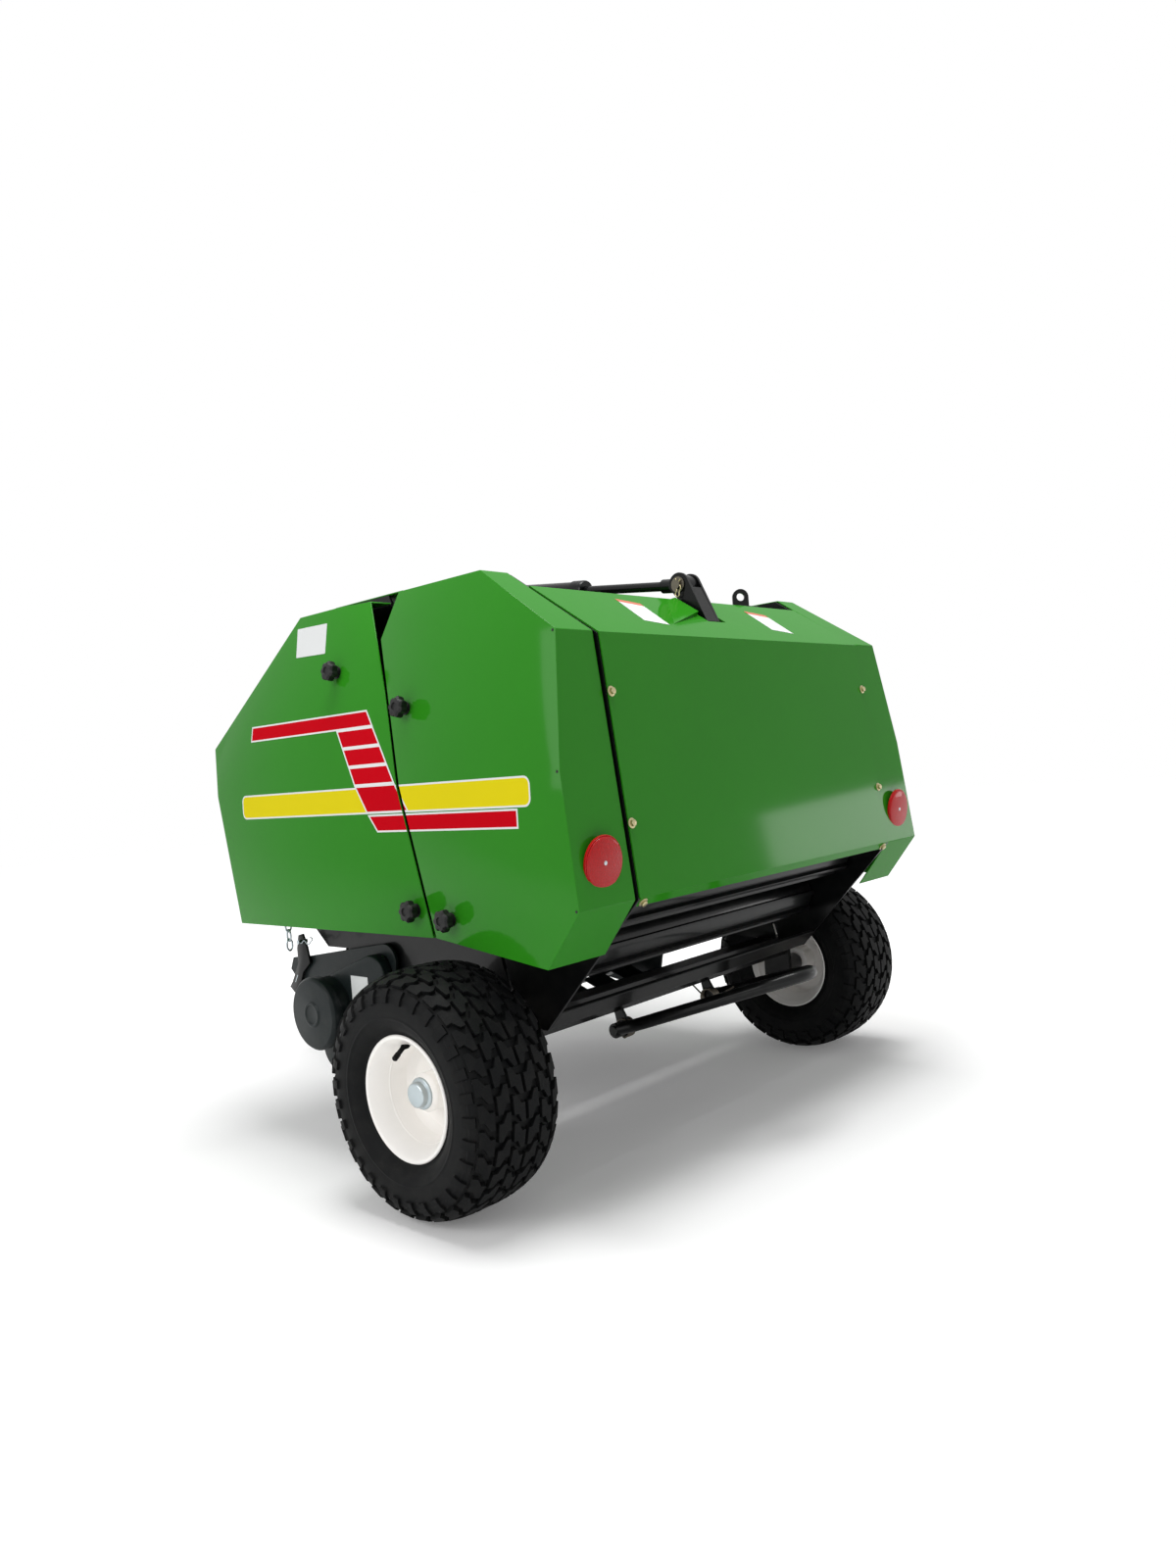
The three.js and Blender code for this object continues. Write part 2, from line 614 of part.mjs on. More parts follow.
function tailgateSide() {
  const skin = SHEET + SEAT;
  const frontFoot = [splitY(TAILGATE_FOOT[1]) - SPLIT_GAP / 2, TAILGATE_FOOT[1]];
  const outline = [
    frontFoot,
    [splitY(825) - SPLIT_GAP / 2, 825],
    [splitY(825) - SPLIT_GAP / 2, 850],
    [HINGE[0], HINGE[1] + HINGE_LUG_RADIUS],
    [120, 916.5],
    [PANEL_FRONT_Y, PANEL_SHOULDER[1]],
    PANEL_SHOULDER,
    PANEL_CREASE,
    PANEL_BOTTOM,
    TAILGATE_FOOT,
  ];
  const distances = outline.map((_, i) => (i >= 5 && i <= 7 ? skin : 0));
  const lug = barX(HINGE_LUG_RADIUS, WALL_INNER_X, WALL_OUTER_X, HINGE, 20);
  const plate = join(prismX(inset(outline, distances), WALL_INNER_X, WALL_OUTER_X), lug);
  return join(
    plate.subtract(join(...wallHoles(tailgateRollers),
      barX(HINGE_PIN_RADIUS + PIN_PLAY, WALL_INNER_X - 1, WALL_OUTER_X + 1, HINGE, 16))),
    ...coverBosses(REAR_BOSSES),
  );
}

// Where the panel turns level, on the slope between the shoulder and the crease.
const panelTurn = (() => {
  const share = PANEL_DROP / (PANEL_SHOULDER[1] - PANEL_CREASE[1]);
  return PANEL_SHOULDER.map((value, i) => THREE.MathUtils.lerp(value, PANEL_CREASE[i], share));
})();

function tailgatePanel() {
  const half = WALL_INNER_X + PANEL_OVERHANG;
  const inside = WALL_INNER_X - SEAT;
  const top = [PANEL_FRONT_Y, panelTurn[1]];
  const level = prismX(foldedSheet([top, panelTurn, PANEL_CREASE], SHEET), -inside, inside);
  const slope = prismX(foldedSheet([panelTurn, PANEL_CREASE, PANEL_BOTTOM], SHEET), -half, half);
  const sheet = join(level, slope);
  const lipEnd = [PANEL_BOTTOM[0] + PANEL_LIP, PANEL_BOTTOM[1] - PANEL_LIP];
  const lip = prismX(foldedSheet([PANEL_BOTTOM, lipEnd], SHEET), -inside, inside);
  const slot = box(-PANEL_SLOT_HALF, PANEL_SLOT_HALF, PANEL_SLOT_REAR_Y, PANEL_FRONT_Y + 1, 820, 980);
  return join(sheet, lip).subtract(slot);
}

function crossbar() {
  const along = new THREE.Vector2(PANEL_BOTTOM[0] - TAILGATE_FOOT[0], PANEL_BOTTOM[1] - TAILGATE_FOOT[1]).normalize();
  const end = [TAILGATE_FOOT[0] + along.x * CROSSBAR_WIDTH, TAILGATE_FOOT[1] + along.y * CROSSBAR_WIDTH];
  const outline = foldedSheet([end, TAILGATE_FOOT], CROSSBAR_THICKNESS);
  return prismX(outline, -WALL_INNER_X + SEAT, WALL_INNER_X - SEAT);
}

const beamBetweenWalls = ([y, z], size) =>
  box(-WALL_INNER_X + SEAT, WALL_INNER_X - SEAT, y - size / 2, y + size / 2, z - size / 2, z + size / 2);

const TAILGATE_BEAM_ROLLER = 2;    // counted from the top, from nought
const tailgateBeamAt = [
  TAILGATE_BEAM_Y,
  tailgateRollers[TAILGATE_BEAM_ROLLER][1] + ROLLER_RADIUS + ROLLER_RIB + TAILGATE_BEAM_ROOM + BEAM / 2,
];
const EAR_INNER_X = EYE_WIDTH / 2 + EAR_SIDE_PLAY;
const EAR_OUTER_X = EAR_INNER_X + EAR;

// The two ears and the web between them that take the cylinder's rod.
function rodBracket() {
  const baseZ = tailgateBeamAt[1] + BEAM / 2 + SEAT;
  const backY = tailgateBeamAt[0] - BEAM / 2 - SEAT;
  const rear = [-240, 856];
  const ear = new THREE.Shape();
  ear.moveTo(-150, baseZ);
  ear.absarc(...CYLINDER_REAR, EAR_RADIUS, -0.06 * Math.PI, 0.86 * Math.PI, false);
  ear.lineTo(...rear);
  ear.lineTo(backY, rear[1] + 4);
  ear.lineTo(backY, baseZ);
  const web = foldedSheet([[-203, 935], rear], 6);
  return join(
    prismX(ear, -EAR_OUTER_X, -EAR_INNER_X, 14),
    prismX(ear, EAR_INNER_X, EAR_OUTER_X, 14),
    prismX(web, -EAR_OUTER_X + 1, EAR_OUTER_X - 1),
  );
}

function reflector() {
  const profile = [
    [0, 0], [REFLECTOR_RADIUS, 0], [REFLECTOR_RADIUS, REFLECTOR_THICKNESS - 3],
    [REFLECTOR_RADIUS - 3, REFLECTOR_THICKNESS], [0, REFLECTOR_THICKNESS],
  ];
  const points = profile.map(([radius, depth]) => new THREE.Vector2(radius, depth));
  return geometryOf(solid(new THREE.LatheGeometry(points, 24)));
}

const LIFTING_EYE_RADIUS = 19;
const LIFTING_EYE_HOLE = 9.5;
const LIFTING_EYE_RISE = 29;    // from the panel to the middle of the hole
const LIFTING_EYE_TURN = -45;

function liftingEye() {
  const bottomZ = panelTurn[1] + SEAT;
  const outline = new THREE.Shape();
  outline.moveTo(-LIFTING_EYE_RADIUS, bottomZ);
  outline.lineTo(LIFTING_EYE_RADIUS, bottomZ);
  outline.absarc(0, bottomZ + LIFTING_EYE_RISE, LIFTING_EYE_RADIUS, 0, Math.PI, false);
  const hole = new THREE.Path().absarc(0, bottomZ + LIFTING_EYE_RISE, LIFTING_EYE_HOLE, 0, 2 * Math.PI, true);
  outline.holes.push(hole);
  return prismY(outline, -5, 5, 12).rotate([0, 0, LIFTING_EYE_TURN]);
}

placePair("tailgate_side", tailgateSide(), BLACK);
place("tailgate_panel", tailgatePanel(), GREEN);
place("tailgate_beam", beamBetweenWalls(tailgateBeamAt, BEAM), BLACK);
place("tailgate_crossbar", crossbar(), BLACK);
place("rod_bracket", rodBracket(), BLACK);
place("lifting_eye", liftingEye(), BLACK, [290, -118, 0]);

const bandTop = rearCoverOutline[5];
const bandBottom = rearCoverOutline[6];
const bandShare = (REFLECTOR_Z - bandBottom[1]) / (bandTop[1] - bandBottom[1]);
const bandLean = Math.atan2(bandTop[0] - bandBottom[0], bandTop[1] - bandBottom[1]);
const reflectorY = THREE.MathUtils.lerp(bandBottom[0], bandTop[0], bandShare) - SEAT;
const reflectorX = (COVER_INNER_X + faceX(REFLECTOR_Z)) / 2;
for (const [name, side] of [["reflector_right", 1], ["reflector_left", -1]]) {
  const lens = place(name, reflector(), RED, [side * reflectorX, reflectorY, REFLECTOR_Z]);
  lens.rotation.x = Math.PI - bandLean;
}

// ---------------------------------------------------------------- tailgate cylinder

const cylinderLength = Math.hypot(CYLINDER_FRONT[0] - CYLINDER_REAR[0], CYLINDER_FRONT[1] - CYLINDER_REAR[1]);
const cylinderLean = Math.atan2(CYLINDER_FRONT[1] - CYLINDER_REAR[1], CYLINDER_FRONT[0] - CYLINDER_REAR[0]);

const eye = (y) => barX(EYE_RADIUS, -EYE_WIDTH / 2, EYE_WIDTH / 2, [y, 0], 18);
const eyeHole = (y) => barX(CYLINDER_PIN_RADIUS + PIN_PLAY, -EYE_WIDTH, EYE_WIDTH, [y, 0], 12);

// Barrel and rod are drawn along y with the front pin at the origin.
function barrel() {
  const tubeStart = -EAR_RADIUS - CLEAR;
  const tube = bar(BARREL_RADIUS, [0, tubeStart, 0], [0, -BARREL_LENGTH, 0], 20);
  const neck = bar(EYE_WIDTH / 2 - 2, [0, -CYLINDER_PIN_RADIUS - 4, 0], [0, tubeStart - 2, 0], 12);
  const bore = bar(ROD_RADIUS + PIN_PLAY, [0, tubeStart - 12, 0], [0, -BARREL_LENGTH - 1, 0], 16);
  return join(tube, neck, eye(0)).subtract(join(bore, eyeHole(0)));
}

function rod() {
  const shank = bar(ROD_RADIUS, [0, -BARREL_LENGTH + ROD_OVERLAP, 0], [0, -cylinderLength + EYE_RADIUS - 4, 0], 16);
  return join(shank, eye(-cylinderLength)).subtract(eyeHole(-cylinderLength));
}

for (const [name, shape, material] of [["cylinder_barrel", barrel(), BLACK], ["cylinder_rod", rod(), STEEL]]) {
  place(name, shape, material, [0, ...CYLINDER_FRONT]).rotation.x = cylinderLean;
}

function topBeam() {
  const at = [CYLINDER_FRONT[0], TOP_BEAM_Z];
  const ear = new THREE.Shape();
  const baseZ = TOP_BEAM_Z + BEAM / 2 - 1;
  ear.moveTo(at[0] - 24, baseZ);
  ear.lineTo(at[0] + 24, baseZ);
  ear.absarc(...CYLINDER_FRONT, 24, 0, Math.PI, false);
  return join(
    beamBetweenWalls(at, BEAM),
    prismX(ear, -EAR_OUTER_X, -EAR_INNER_X, 14),
    prismX(ear, EAR_INNER_X, EAR_OUTER_X, 14),
    barX(CYLINDER_PIN_RADIUS, -EAR_OUTER_X - 5, EAR_OUTER_X + 5, CYLINDER_FRONT, 20),
  );
}

place("top_beam", topBeam(), BLACK);

// ---------------------------------------------------------------- hood, twine box and lid

function hood() {
  const half = COVER_INNER_X - CLEAR;
  const sheet = box(-half, half, HOOD_REAR_Y, HOOD_FRONT_Y, HOOD_Z + SEAT, HOOD_Z + SEAT + SHEET);
  return sheet.subtract(
    box(-HOOD_SLOT_HALF, HOOD_SLOT_HALF, HOOD_REAR_Y - 1, HOOD_SLOT_FRONT_Y, HOOD_Z - 10, HOOD_Z + 20));
}

const lidRimZ = (y, below) => {
  const slope = (LID_END[1] - LID_START[1]) / (LID_END[0] - LID_START[0]);
  return LID_START[1] + (y - LID_START[0]) * slope - below * Math.hypot(1, slope);
};

function twineLid() {
  const half = WALL_INNER_X - CLEAR - 1.5;
  const lip = [LID_END[0] - 3, LID_END[1] - LID_LIP];
  const plate = prismX(foldedSheet([lip, LID_END, LID_START], LID_THICKNESS), -half, half);
  return join(plate, barX(LID_ROD_RADIUS, -WALL_OUTER_X + 1, WALL_OUTER_X - 1, LID_HINGE, 16));
}

function twineBox() {
  const below = LID_THICKNESS + CLEAR;
  const outline = [
    [TWINE_BOX_REAR_Y, TWINE_BOX_FLOOR_Z],
    [TWINE_BOX_FRONT_Y, TWINE_BOX_FLOOR_Z],
    [TWINE_BOX_FRONT_Y, lidRimZ(TWINE_BOX_FRONT_Y, below)],
    [TWINE_BOX_REAR_Y, lidRimZ(TWINE_BOX_REAR_Y, below)],
  ];
  const outer = prismX(outline, -WALL_INNER_X + SEAT, WALL_INNER_X - SEAT);
  const sheet = TWINE_BOX_SHEET;
  const room = inset(outline, [sheet, sheet, -30, sheet]);
  return outer.subtract(prismX(room, -WALL_INNER_X + SEAT + sheet, WALL_INNER_X - SEAT - sheet));
}

place("hood", hood(), GREEN);
place("twine_box", twineBox(), BLACK);
place("twine_lid", twineLid(), GREEN);

// ---------------------------------------------------------------- front frame

const crossbeamFrontY = CROSSBEAM_REAR_Y + CROSSBEAM;
const crossbeamTopZ = CROSSBEAM_BOTTOM_Z + CROSSBEAM;
const crossbeamMiddle = [CROSSBEAM_REAR_Y + CROSSBEAM / 2, CROSSBEAM_BOTTOM_Z + CROSSBEAM / 2];

function drawbar() {
  const startY = crossbeamFrontY + SEAT;
  const half = DRAWBAR_DEPTH / 2;
  const outline = [
    [startY, crossbeamMiddle[1] - half], [DRAWBAR_END_Y, DRAWBAR_END_Z - half],
    [DRAWBAR_END_Y, DRAWBAR_END_Z + half], [startY, crossbeamMiddle[1] + half],
  ];
  return prismX(outline, -DRAWBAR_WIDTH / 2, DRAWBAR_WIDTH / 2);
}

function hitchClevis() {
  const half = DRAWBAR_WIDTH / 2;
  const backY = DRAWBAR_END_Y + SEAT;
  const tongue = new THREE.Shape();
  tongue.moveTo(-half, backY + 4);
  tongue.lineTo(half, backY + 4);
  tongue.absarc(0, FRONT_Y - half, half, 0, Math.PI, false);
  tongue.holes.push(new THREE.Path().absarc(0, FRONT_Y - half, HITCH_HOLE_RADIUS, 0, 2 * Math.PI, true));
  const [low, high] = [DRAWBAR_END_Z - DRAWBAR_DEPTH / 2, DRAWBAR_END_Z + DRAWBAR_DEPTH / 2];
  return join(
    box(-half - 8, half + 8, backY, backY + HITCH_PLATE, low - 12, high + 12),
    prismZ(tongue, low, low + HITCH_PLATE, 12),
    prismZ(tongue, high - HITCH_PLATE, high, 12),
  );
}

const gearboxFrontY = CROSSBEAM_REAR_Y + GEARBOX.length;
const inputShaftZ = crossbeamTopZ + SEAT + GEARBOX.shaftZ;

function gearbox() {
  const { halfWidth, height } = GEARBOX;
  const bottom = crossbeamTopZ + SEAT;
  const body = [
    [-halfWidth, bottom], [halfWidth, bottom], [halfWidth, bottom + height - 25],
    [halfWidth - 25, bottom + height], [-halfWidth + 25, bottom + height], [-halfWidth, bottom + height - 25],
  ];
  const seat = bar(INPUT_SHAFT.radius + PIN_PLAY, [0, gearboxFrontY - INPUT_SHAFT.seat, inputShaftZ],
    [0, gearboxFrontY + 1, inputShaftZ], 20);
  return prismY(body, CROSSBEAM_REAR_Y, gearboxFrontY).subtract(seat);
}

function inputShaft() {
  const at = (y) => [0, y, inputShaftZ];
  const { radius, length, collarRadius, collar, seat } = INPUT_SHAFT;
  return join(
    bar(radius, at(gearboxFrontY - seat + 1), at(gearboxFrontY + length), 20),
    bar(collarRadius, at(gearboxFrontY + CLEAR), at(gearboxFrontY + CLEAR + collar), 20),
  );
}

place("front_crossbeam", beamBetweenWalls(crossbeamMiddle, CROSSBEAM), BLACK);
place("drawbar", drawbar(), BLACK);
place("hitch_clevis", hitchClevis(), BLACK);
place("gearbox", gearbox(), ANTHRACITE);
place("input_shaft", inputShaft(), STEEL);

// ---------------------------------------------------------------- jack

const jackTubeInner = JACK_LEG_RADIUS + PIN_PLAY;
const jackTubeOuter = jackTubeInner + JACK_TUBE_WALL;
const jackX = -(DRAWBAR_WIDTH / 2 + JACK_STANDOFF + jackTubeOuter);

function drawbarZ(y) {
  const share = (y - crossbeamFrontY) / (DRAWBAR_END_Y - crossbeamFrontY);
  return THREE.MathUtils.lerp(crossbeamMiddle[1], DRAWBAR_END_Z, share);
}

function jackSleeve() {
  const middle = drawbarZ(JACK_Y);
  const at = (z) => [jackX, JACK_Y, z];
  const tube = bar(jackTubeOuter, at(JACK_TUBE_BOTTOM_Z), at(JACK_TUBE_TOP_Z), 20);
  const bore = bar(jackTubeInner, at(JACK_TUBE_BOTTOM_Z - 1), at(JACK_TUBE_TOP_Z - 6), 20);
  const flange = box(jackX, -DRAWBAR_WIDTH / 2 - SEAT, JACK_Y - 36, JACK_Y + 36, middle - 26, middle + 26);
  const spindle = bar(8, at(JACK_TUBE_TOP_Z - 1), at(JACK_TUBE_TOP_Z + 22), 12);
  const crank = bar(6, [jackX - 8, JACK_Y, JACK_TUBE_TOP_Z + 20], [jackX + 110, JACK_Y, JACK_TUBE_TOP_Z + 20], 10);
  const grip = bar(10, [jackX + 104, JACK_Y, JACK_TUBE_TOP_Z + 14], [jackX + 104, JACK_Y, JACK_TUBE_TOP_Z + 84], 12);
  return join(join(tube, flange).subtract(bore), spindle, crank, grip);
}

function jackLeg() {
  const ground = -TYRE_RADIUS;
  const topZ = JACK_TUBE_TOP_Z - 6 - CLEAR - JACK_STROKE;
  const half = JACK_FOOT / 2;
  return join(
    bar(JACK_LEG_RADIUS, [jackX, JACK_Y, ground + 2], [jackX, JACK_Y, topZ], 20),
    box(jackX - half, jackX + half, JACK_Y - half, JACK_Y + half, ground, ground + JACK_FOOT_THICKNESS),
  );
}

place("jack_sleeve", jackSleeve(), BLACK);
place("jack_leg", jackLeg(), STEEL);

// ---------------------------------------------------------------- rollers

function roller() {
  const half = WALL_INNER_X - CLEAR;
  const ribAngle = (2 * Math.PI) / ROLLER_RIBS;
  const outline = [];
  for (let i = 0; i < ROLLER_RIBS; i += 1) {
    for (const [radius, offset] of [
      [ROLLER_RADIUS, -0.13], [ROLLER_RADIUS + ROLLER_RIB, -0.07], [ROLLER_RADIUS + ROLLER_RIB, 0.07], [ROLLER_RADIUS, 0.13],
    ]) {
      const angle = i * ribAngle + offset;
      outline.push([radius * Math.cos(angle), radius * Math.sin(angle)]);
    }
  }
  return join(
    prismX(outline, -half, half),
    barX(ROLLER_SHAFT_RADIUS, -WALL_OUTER_X + 0.5, WALL_OUTER_X - 0.5, [0, 0], 8),
  );
}

const rollerGeometry = geometryOf(roller());
frontRollers.forEach((at, i) => place(`front_roller_${i + 1}`, rollerGeometry, BLACK, [0, ...at]));
place("floor_roller", rollerGeometry, BLACK, [0, ...floorRoller]);
tailgateRollers.forEach((at, i) => place(`tailgate_roller_${i + 1}`, rollerGeometry, BLACK, [0, ...at]));

// ---------------------------------------------------------------- pickup

const PICKUP_INNER_X = WALL_OUTER_X + PICKUP_PLATE_GAP;
const PICKUP_OUTER_X = PICKUP_INNER_X + PICKUP_PLATE;

function pickupSide() {
  const outline = new THREE.Shape();
  outline.absarc(...PICKUP_PIVOT, 38, Math.PI, 0.45 * Math.PI, true);
  outline.lineTo(665, 172);
  outline.lineTo(724, 166);
  outline.lineTo(738, 138);
  outline.lineTo(702, 104);
  outline.lineTo(650, 0);
  outline.lineTo(586, -56);
  outline.lineTo(510, -68);
  outline.lineTo(392, -66);
  outline.lineTo(372, -30);
  const holes = join(
    barX(PICKUP_PIN_RADIUS + PIN_PLAY, PICKUP_INNER_X - 1, PICKUP_OUTER_X + 1, PICKUP_PIVOT, 20),
    barX(REEL_SHAFT_RADIUS + PIN_PLAY, PICKUP_INNER_X - 1, PICKUP_OUTER_X + 1, REEL, 20),
  );
  return prismX(outline, PICKUP_INNER_X, PICKUP_OUTER_X, 10).subtract(holes);
}

const bandHalf = WALL_INNER_X - CLEAR;
const bandPitch = (2 * bandHalf + BAND_GAP) / BANDS;
const bandStart = (i) => -bandHalf + i * bandPitch;
const gapMiddles = Array.from({ length: BANDS - 1 }, (_, i) => bandStart(i + 1) - BAND_GAP / 2);

const DECK_FRONT = [430, 172];
const DECK_REAR = [196, 162];

// Curved strips round the reel, joined by a tube below.
function pickupBands() {
  const arc = [];
  for (let degrees = 110; degrees >= -130; degrees -= 30) arc.push(onCircle(REEL, BAND_RADIUS, degrees));
  const tail = [BAND_TUBE[0] + 2, BAND_TUBE[1] + 2];
  const profile = foldedSheet([DECK_FRONT, ...arc, tail], SHEET);
  const strips = Array.from({ length: BANDS }, (_, i) =>
    prismX(profile, bandStart(i), bandStart(i) + bandPitch - BAND_GAP));
  return join(
    ...strips,
    barX(BAND_TUBE_RADIUS, -PICKUP_INNER_X + SEAT, PICKUP_INNER_X - SEAT, BAND_TUBE, 16),
  );
}

// The plate that carries the crop from the bands into the chamber.
const feedDeck = () =>
  prismX(foldedSheet([DECK_REAR, [DECK_FRONT[0] - 2 * SEAT, DECK_FRONT[1]]], SHEET), -bandHalf, bandHalf);

function cropGuard() {
  const rods = gapMiddles.map((x) => swept(GUARD_ROD_RADIUS, [
    [x, GUARD_TUBE[0], GUARD_TUBE[1]], [x, 668, 196], [x, 600, 238], [x, 520, 246], [x, 448, 238],
  ], 7, 5));
  return join(barX(GUARD_TUBE_RADIUS, -PICKUP_INNER_X + SEAT, PICKUP_INNER_X - SEAT, GUARD_TUBE, 14), ...rods);
}

const tineBarAngle = (i) => (360 / REEL_BARS) * i + 20;
const tineBarHalf = bandHalf - 8;

// The reel's shaft, tube and discs, drawn round the shaft.
function pickupReel() {
  const discPlaces = [-tineBarHalf, (bandPitch - REEL_DISC) / 2, tineBarHalf - REEL_DISC];
  const discs = discPlaces.map((x) => barX(REEL_BAR_CIRCLE + 14, x, x + REEL_DISC, [0, 0], 16));
  const holes = Array.from({ length: REEL_BARS }, (_, i) =>
    barX(REEL_BAR_RADIUS + SEAT, -bandHalf, bandHalf, onCircle([0, 0], REEL_BAR_CIRCLE, tineBarAngle(i)), 6));
  return join(
    join(...discs).subtract(join(...holes)),
    barX(REEL_TUBE_RADIUS, -tineBarHalf, tineBarHalf, [0, 0], 12),
    barX(REEL_SHAFT_RADIUS, -PICKUP_OUTER_X + 1, PICKUP_OUTER_X - 1, [0, 0], 12),
  );
}

function tineBar(i) {
  const at = onCircle([0, 0], REEL_BAR_CIRCLE, tineBarAngle(i));
  const tip = onCircle([0, 0], REEL_TINE_RADIUS - 3, tineBarAngle(i) + 12);
  const tines = gapMiddles.map((x) => bar(4, [x, ...at], [x, ...tip], 4));
  return join(barX(REEL_BAR_RADIUS, -tineBarHalf - 1, tineBarHalf + 1, at, 6), ...tines);
}

function driveCover() {
  const [inner, outer] = [PICKUP_OUTER_X + SEAT, PICKUP_OUTER_X + DRIVE_COVER_DEPTH];
  return turnedX([
    [0, inner], [DRIVE_COVER_RADIUS, inner], [DRIVE_COVER_RADIUS, outer - 14], [DRIVE_COVER_RADIUS - 6, outer],
    [30, outer], [30, outer + 10], [0, outer + 10],
  ], 28);
}

placePair("pickup_side", pickupSide(), ANTHRACITE);
place("pickup_bands", pickupBands(), ANTHRACITE);
place("crop_guard", cropGuard(), BLACK);
place("feed_deck", feedDeck(), ANTHRACITE);
place("pickup_reel", pickupReel(), ANTHRACITE, [0, ...REEL]);
for (let i = 0; i < REEL_BARS; i += 1) place(`tine_bar_${i + 1}`, tineBar(i), ANTHRACITE, [0, ...REEL]);
place("pickup_drive_cover", mirroredX(geometryOf(driveCover())), ANTHRACITE, [0, ...REEL]);

// ---------------------------------------------------------------- bale ramp

function baleRamp() {
  const eyeInner = RAMP_LUG_X + RAMP_LUG / 2 + 0.5;
  const eyeX = eyeInner + RAMP_EYE_WIDTH / 2;
  const [y, z] = RAMP_PIVOT;
  const [apexY, apexZ] = RAMP_APEX;
  const half = [
    [eyeX + 5, y - 8, z + 3],
    [eyeX + 3, y - 60, z + 19],
    [eyeX - 12, y - 110, z + 34],
    [96, apexY + 96, apexZ - 28],
    [46, apexY + 20, apexZ - 5],
  ];
  const path = [...half, [0, apexY, apexZ], ...half.map(([a, b, c]) => [-a, b, c]).reverse()];
  const eyes = [-1, 1].map((side) =>
    barX(RAMP_EYE_RADIUS, side * eyeInner, side * (eyeInner + RAMP_EYE_WIDTH), RAMP_PIVOT, 20));
  const holes = [-1, 1].map((side) =>
    barX(RAMP_PIN_RADIUS + PIN_PLAY, side * (eyeInner - 20), side * (eyeInner + RAMP_EYE_WIDTH + 20), RAMP_PIVOT, 16));
  return join(swept(RAMP_TUBE_RADIUS, path, 20, 8), ...eyes).subtract(join(...holes));
}

place("bale_ramp", baleRamp(), BLACK);

// ---------------------------------------------------------------- the machine on its wheels

machine.position.set(0, -(FRONT_Y + REAR_Y) / 2, TYRE_RADIUS);
const group = new THREE.Group();
group.add(machine);

export default group;
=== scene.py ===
# %% [markdown]
# # A small round baler
# A trailed machine that rolls dry grass into a bale between ribbed rollers. The solid model of the
# machine is loaded first and never moves. This lesson gives it rounded folds, rubber, paint and the
# small fittings that a solid model leaves out. Lengths are in metres unless a name ends in `mm`.

# %% Load the frame
import json
import math

import bmesh
import bpy
from mathutils import Matrix, Vector
from mathutils.bvhtree import BVHTree
from mathutils.kdtree import KDTree


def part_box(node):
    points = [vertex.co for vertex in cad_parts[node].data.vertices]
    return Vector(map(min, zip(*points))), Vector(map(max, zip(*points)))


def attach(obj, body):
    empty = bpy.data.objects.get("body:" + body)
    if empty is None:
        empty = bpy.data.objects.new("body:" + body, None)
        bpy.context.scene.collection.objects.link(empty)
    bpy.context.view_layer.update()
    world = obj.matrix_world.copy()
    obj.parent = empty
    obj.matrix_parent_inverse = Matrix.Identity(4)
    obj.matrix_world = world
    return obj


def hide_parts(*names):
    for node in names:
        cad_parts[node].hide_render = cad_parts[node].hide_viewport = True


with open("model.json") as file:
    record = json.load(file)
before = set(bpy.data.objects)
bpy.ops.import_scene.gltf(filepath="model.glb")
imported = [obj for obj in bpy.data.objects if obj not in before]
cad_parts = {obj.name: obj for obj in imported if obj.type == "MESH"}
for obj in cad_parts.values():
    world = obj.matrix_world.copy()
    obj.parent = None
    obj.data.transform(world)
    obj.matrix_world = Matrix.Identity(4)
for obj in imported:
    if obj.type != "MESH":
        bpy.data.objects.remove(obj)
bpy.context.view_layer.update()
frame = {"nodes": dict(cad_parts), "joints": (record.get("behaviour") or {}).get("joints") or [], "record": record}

# %% [markdown]
# ## Where things are
# Every place on the machine is measured from the middle of the axle, which is the centre of a tyre,
# and from the ground. `spot` turns such a measure in millimetres into a point in the scene. Joint
# positions come from the record, so a piece on a hinge is always drawn round that hinge.

# %% Measuring from the axle
def middle(node):
    low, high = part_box(node)
    return (low + high) / 2


AXLE = middle("tyre_left")
TYRE_RADIUS = AXLE.z
BODY_OF = {node: body for body, nodes in frame["record"]["behaviour"]["bodies"].items() for node in nodes}
SLOT_OF = {part["node"]: part["material_slot"] for part in frame["record"]["subparts"]}
JOINT_AT = {joint["name"]: Vector(joint["pos_m"]) for joint in frame["joints"] if "pos_m" in joint}
MM = 0.001
SIDES = {"right": 1, "left": -1}


def spot(x, y, z):
    """A point from millimetres: x from the middle plane, y from the axle, z above the ground."""
    return Vector((x * MM, AXLE.y + y * MM, z * MM))


print("axle at", tuple(round(v, 4) for v in AXLE))

# %% [markdown]
# ## The camera
# The machine is seen from behind and to its left, from about chest height, through a wide lens held
# a few degrees off level. Three turns build that: a heading round the vertical, a tilt, then a roll.

# %% Camera
CAMERA_PLACE = Vector((-1.9047, -2.00685, 0.805))
CAMERA_HEADING, CAMERA_TILT, CAMERA_ROLL = -47.546, -1.102, -4.562
LENS_MM = 24.914

camera_data = bpy.data.cameras.new("camera")
camera_data.lens = LENS_MM
camera_data.sensor_width = 36.0
camera = bpy.data.objects.new("camera", camera_data)
bpy.context.scene.collection.objects.link(camera)
camera.matrix_world = (
    Matrix.Translation(CAMERA_PLACE)
    @ Matrix.Rotation(math.radians(CAMERA_HEADING), 4, "Z")
    @ Matrix.Rotation(math.radians(90 + CAMERA_TILT), 4, "X")
    @ Matrix.Rotation(math.radians(CAMERA_ROLL), 4, "Z")
)
bpy.context.scene.camera = camera
print("camera looks along", tuple(round(v, 3) for v in camera.matrix_world.to_3x3() @ Vector((0, 0, -1))))

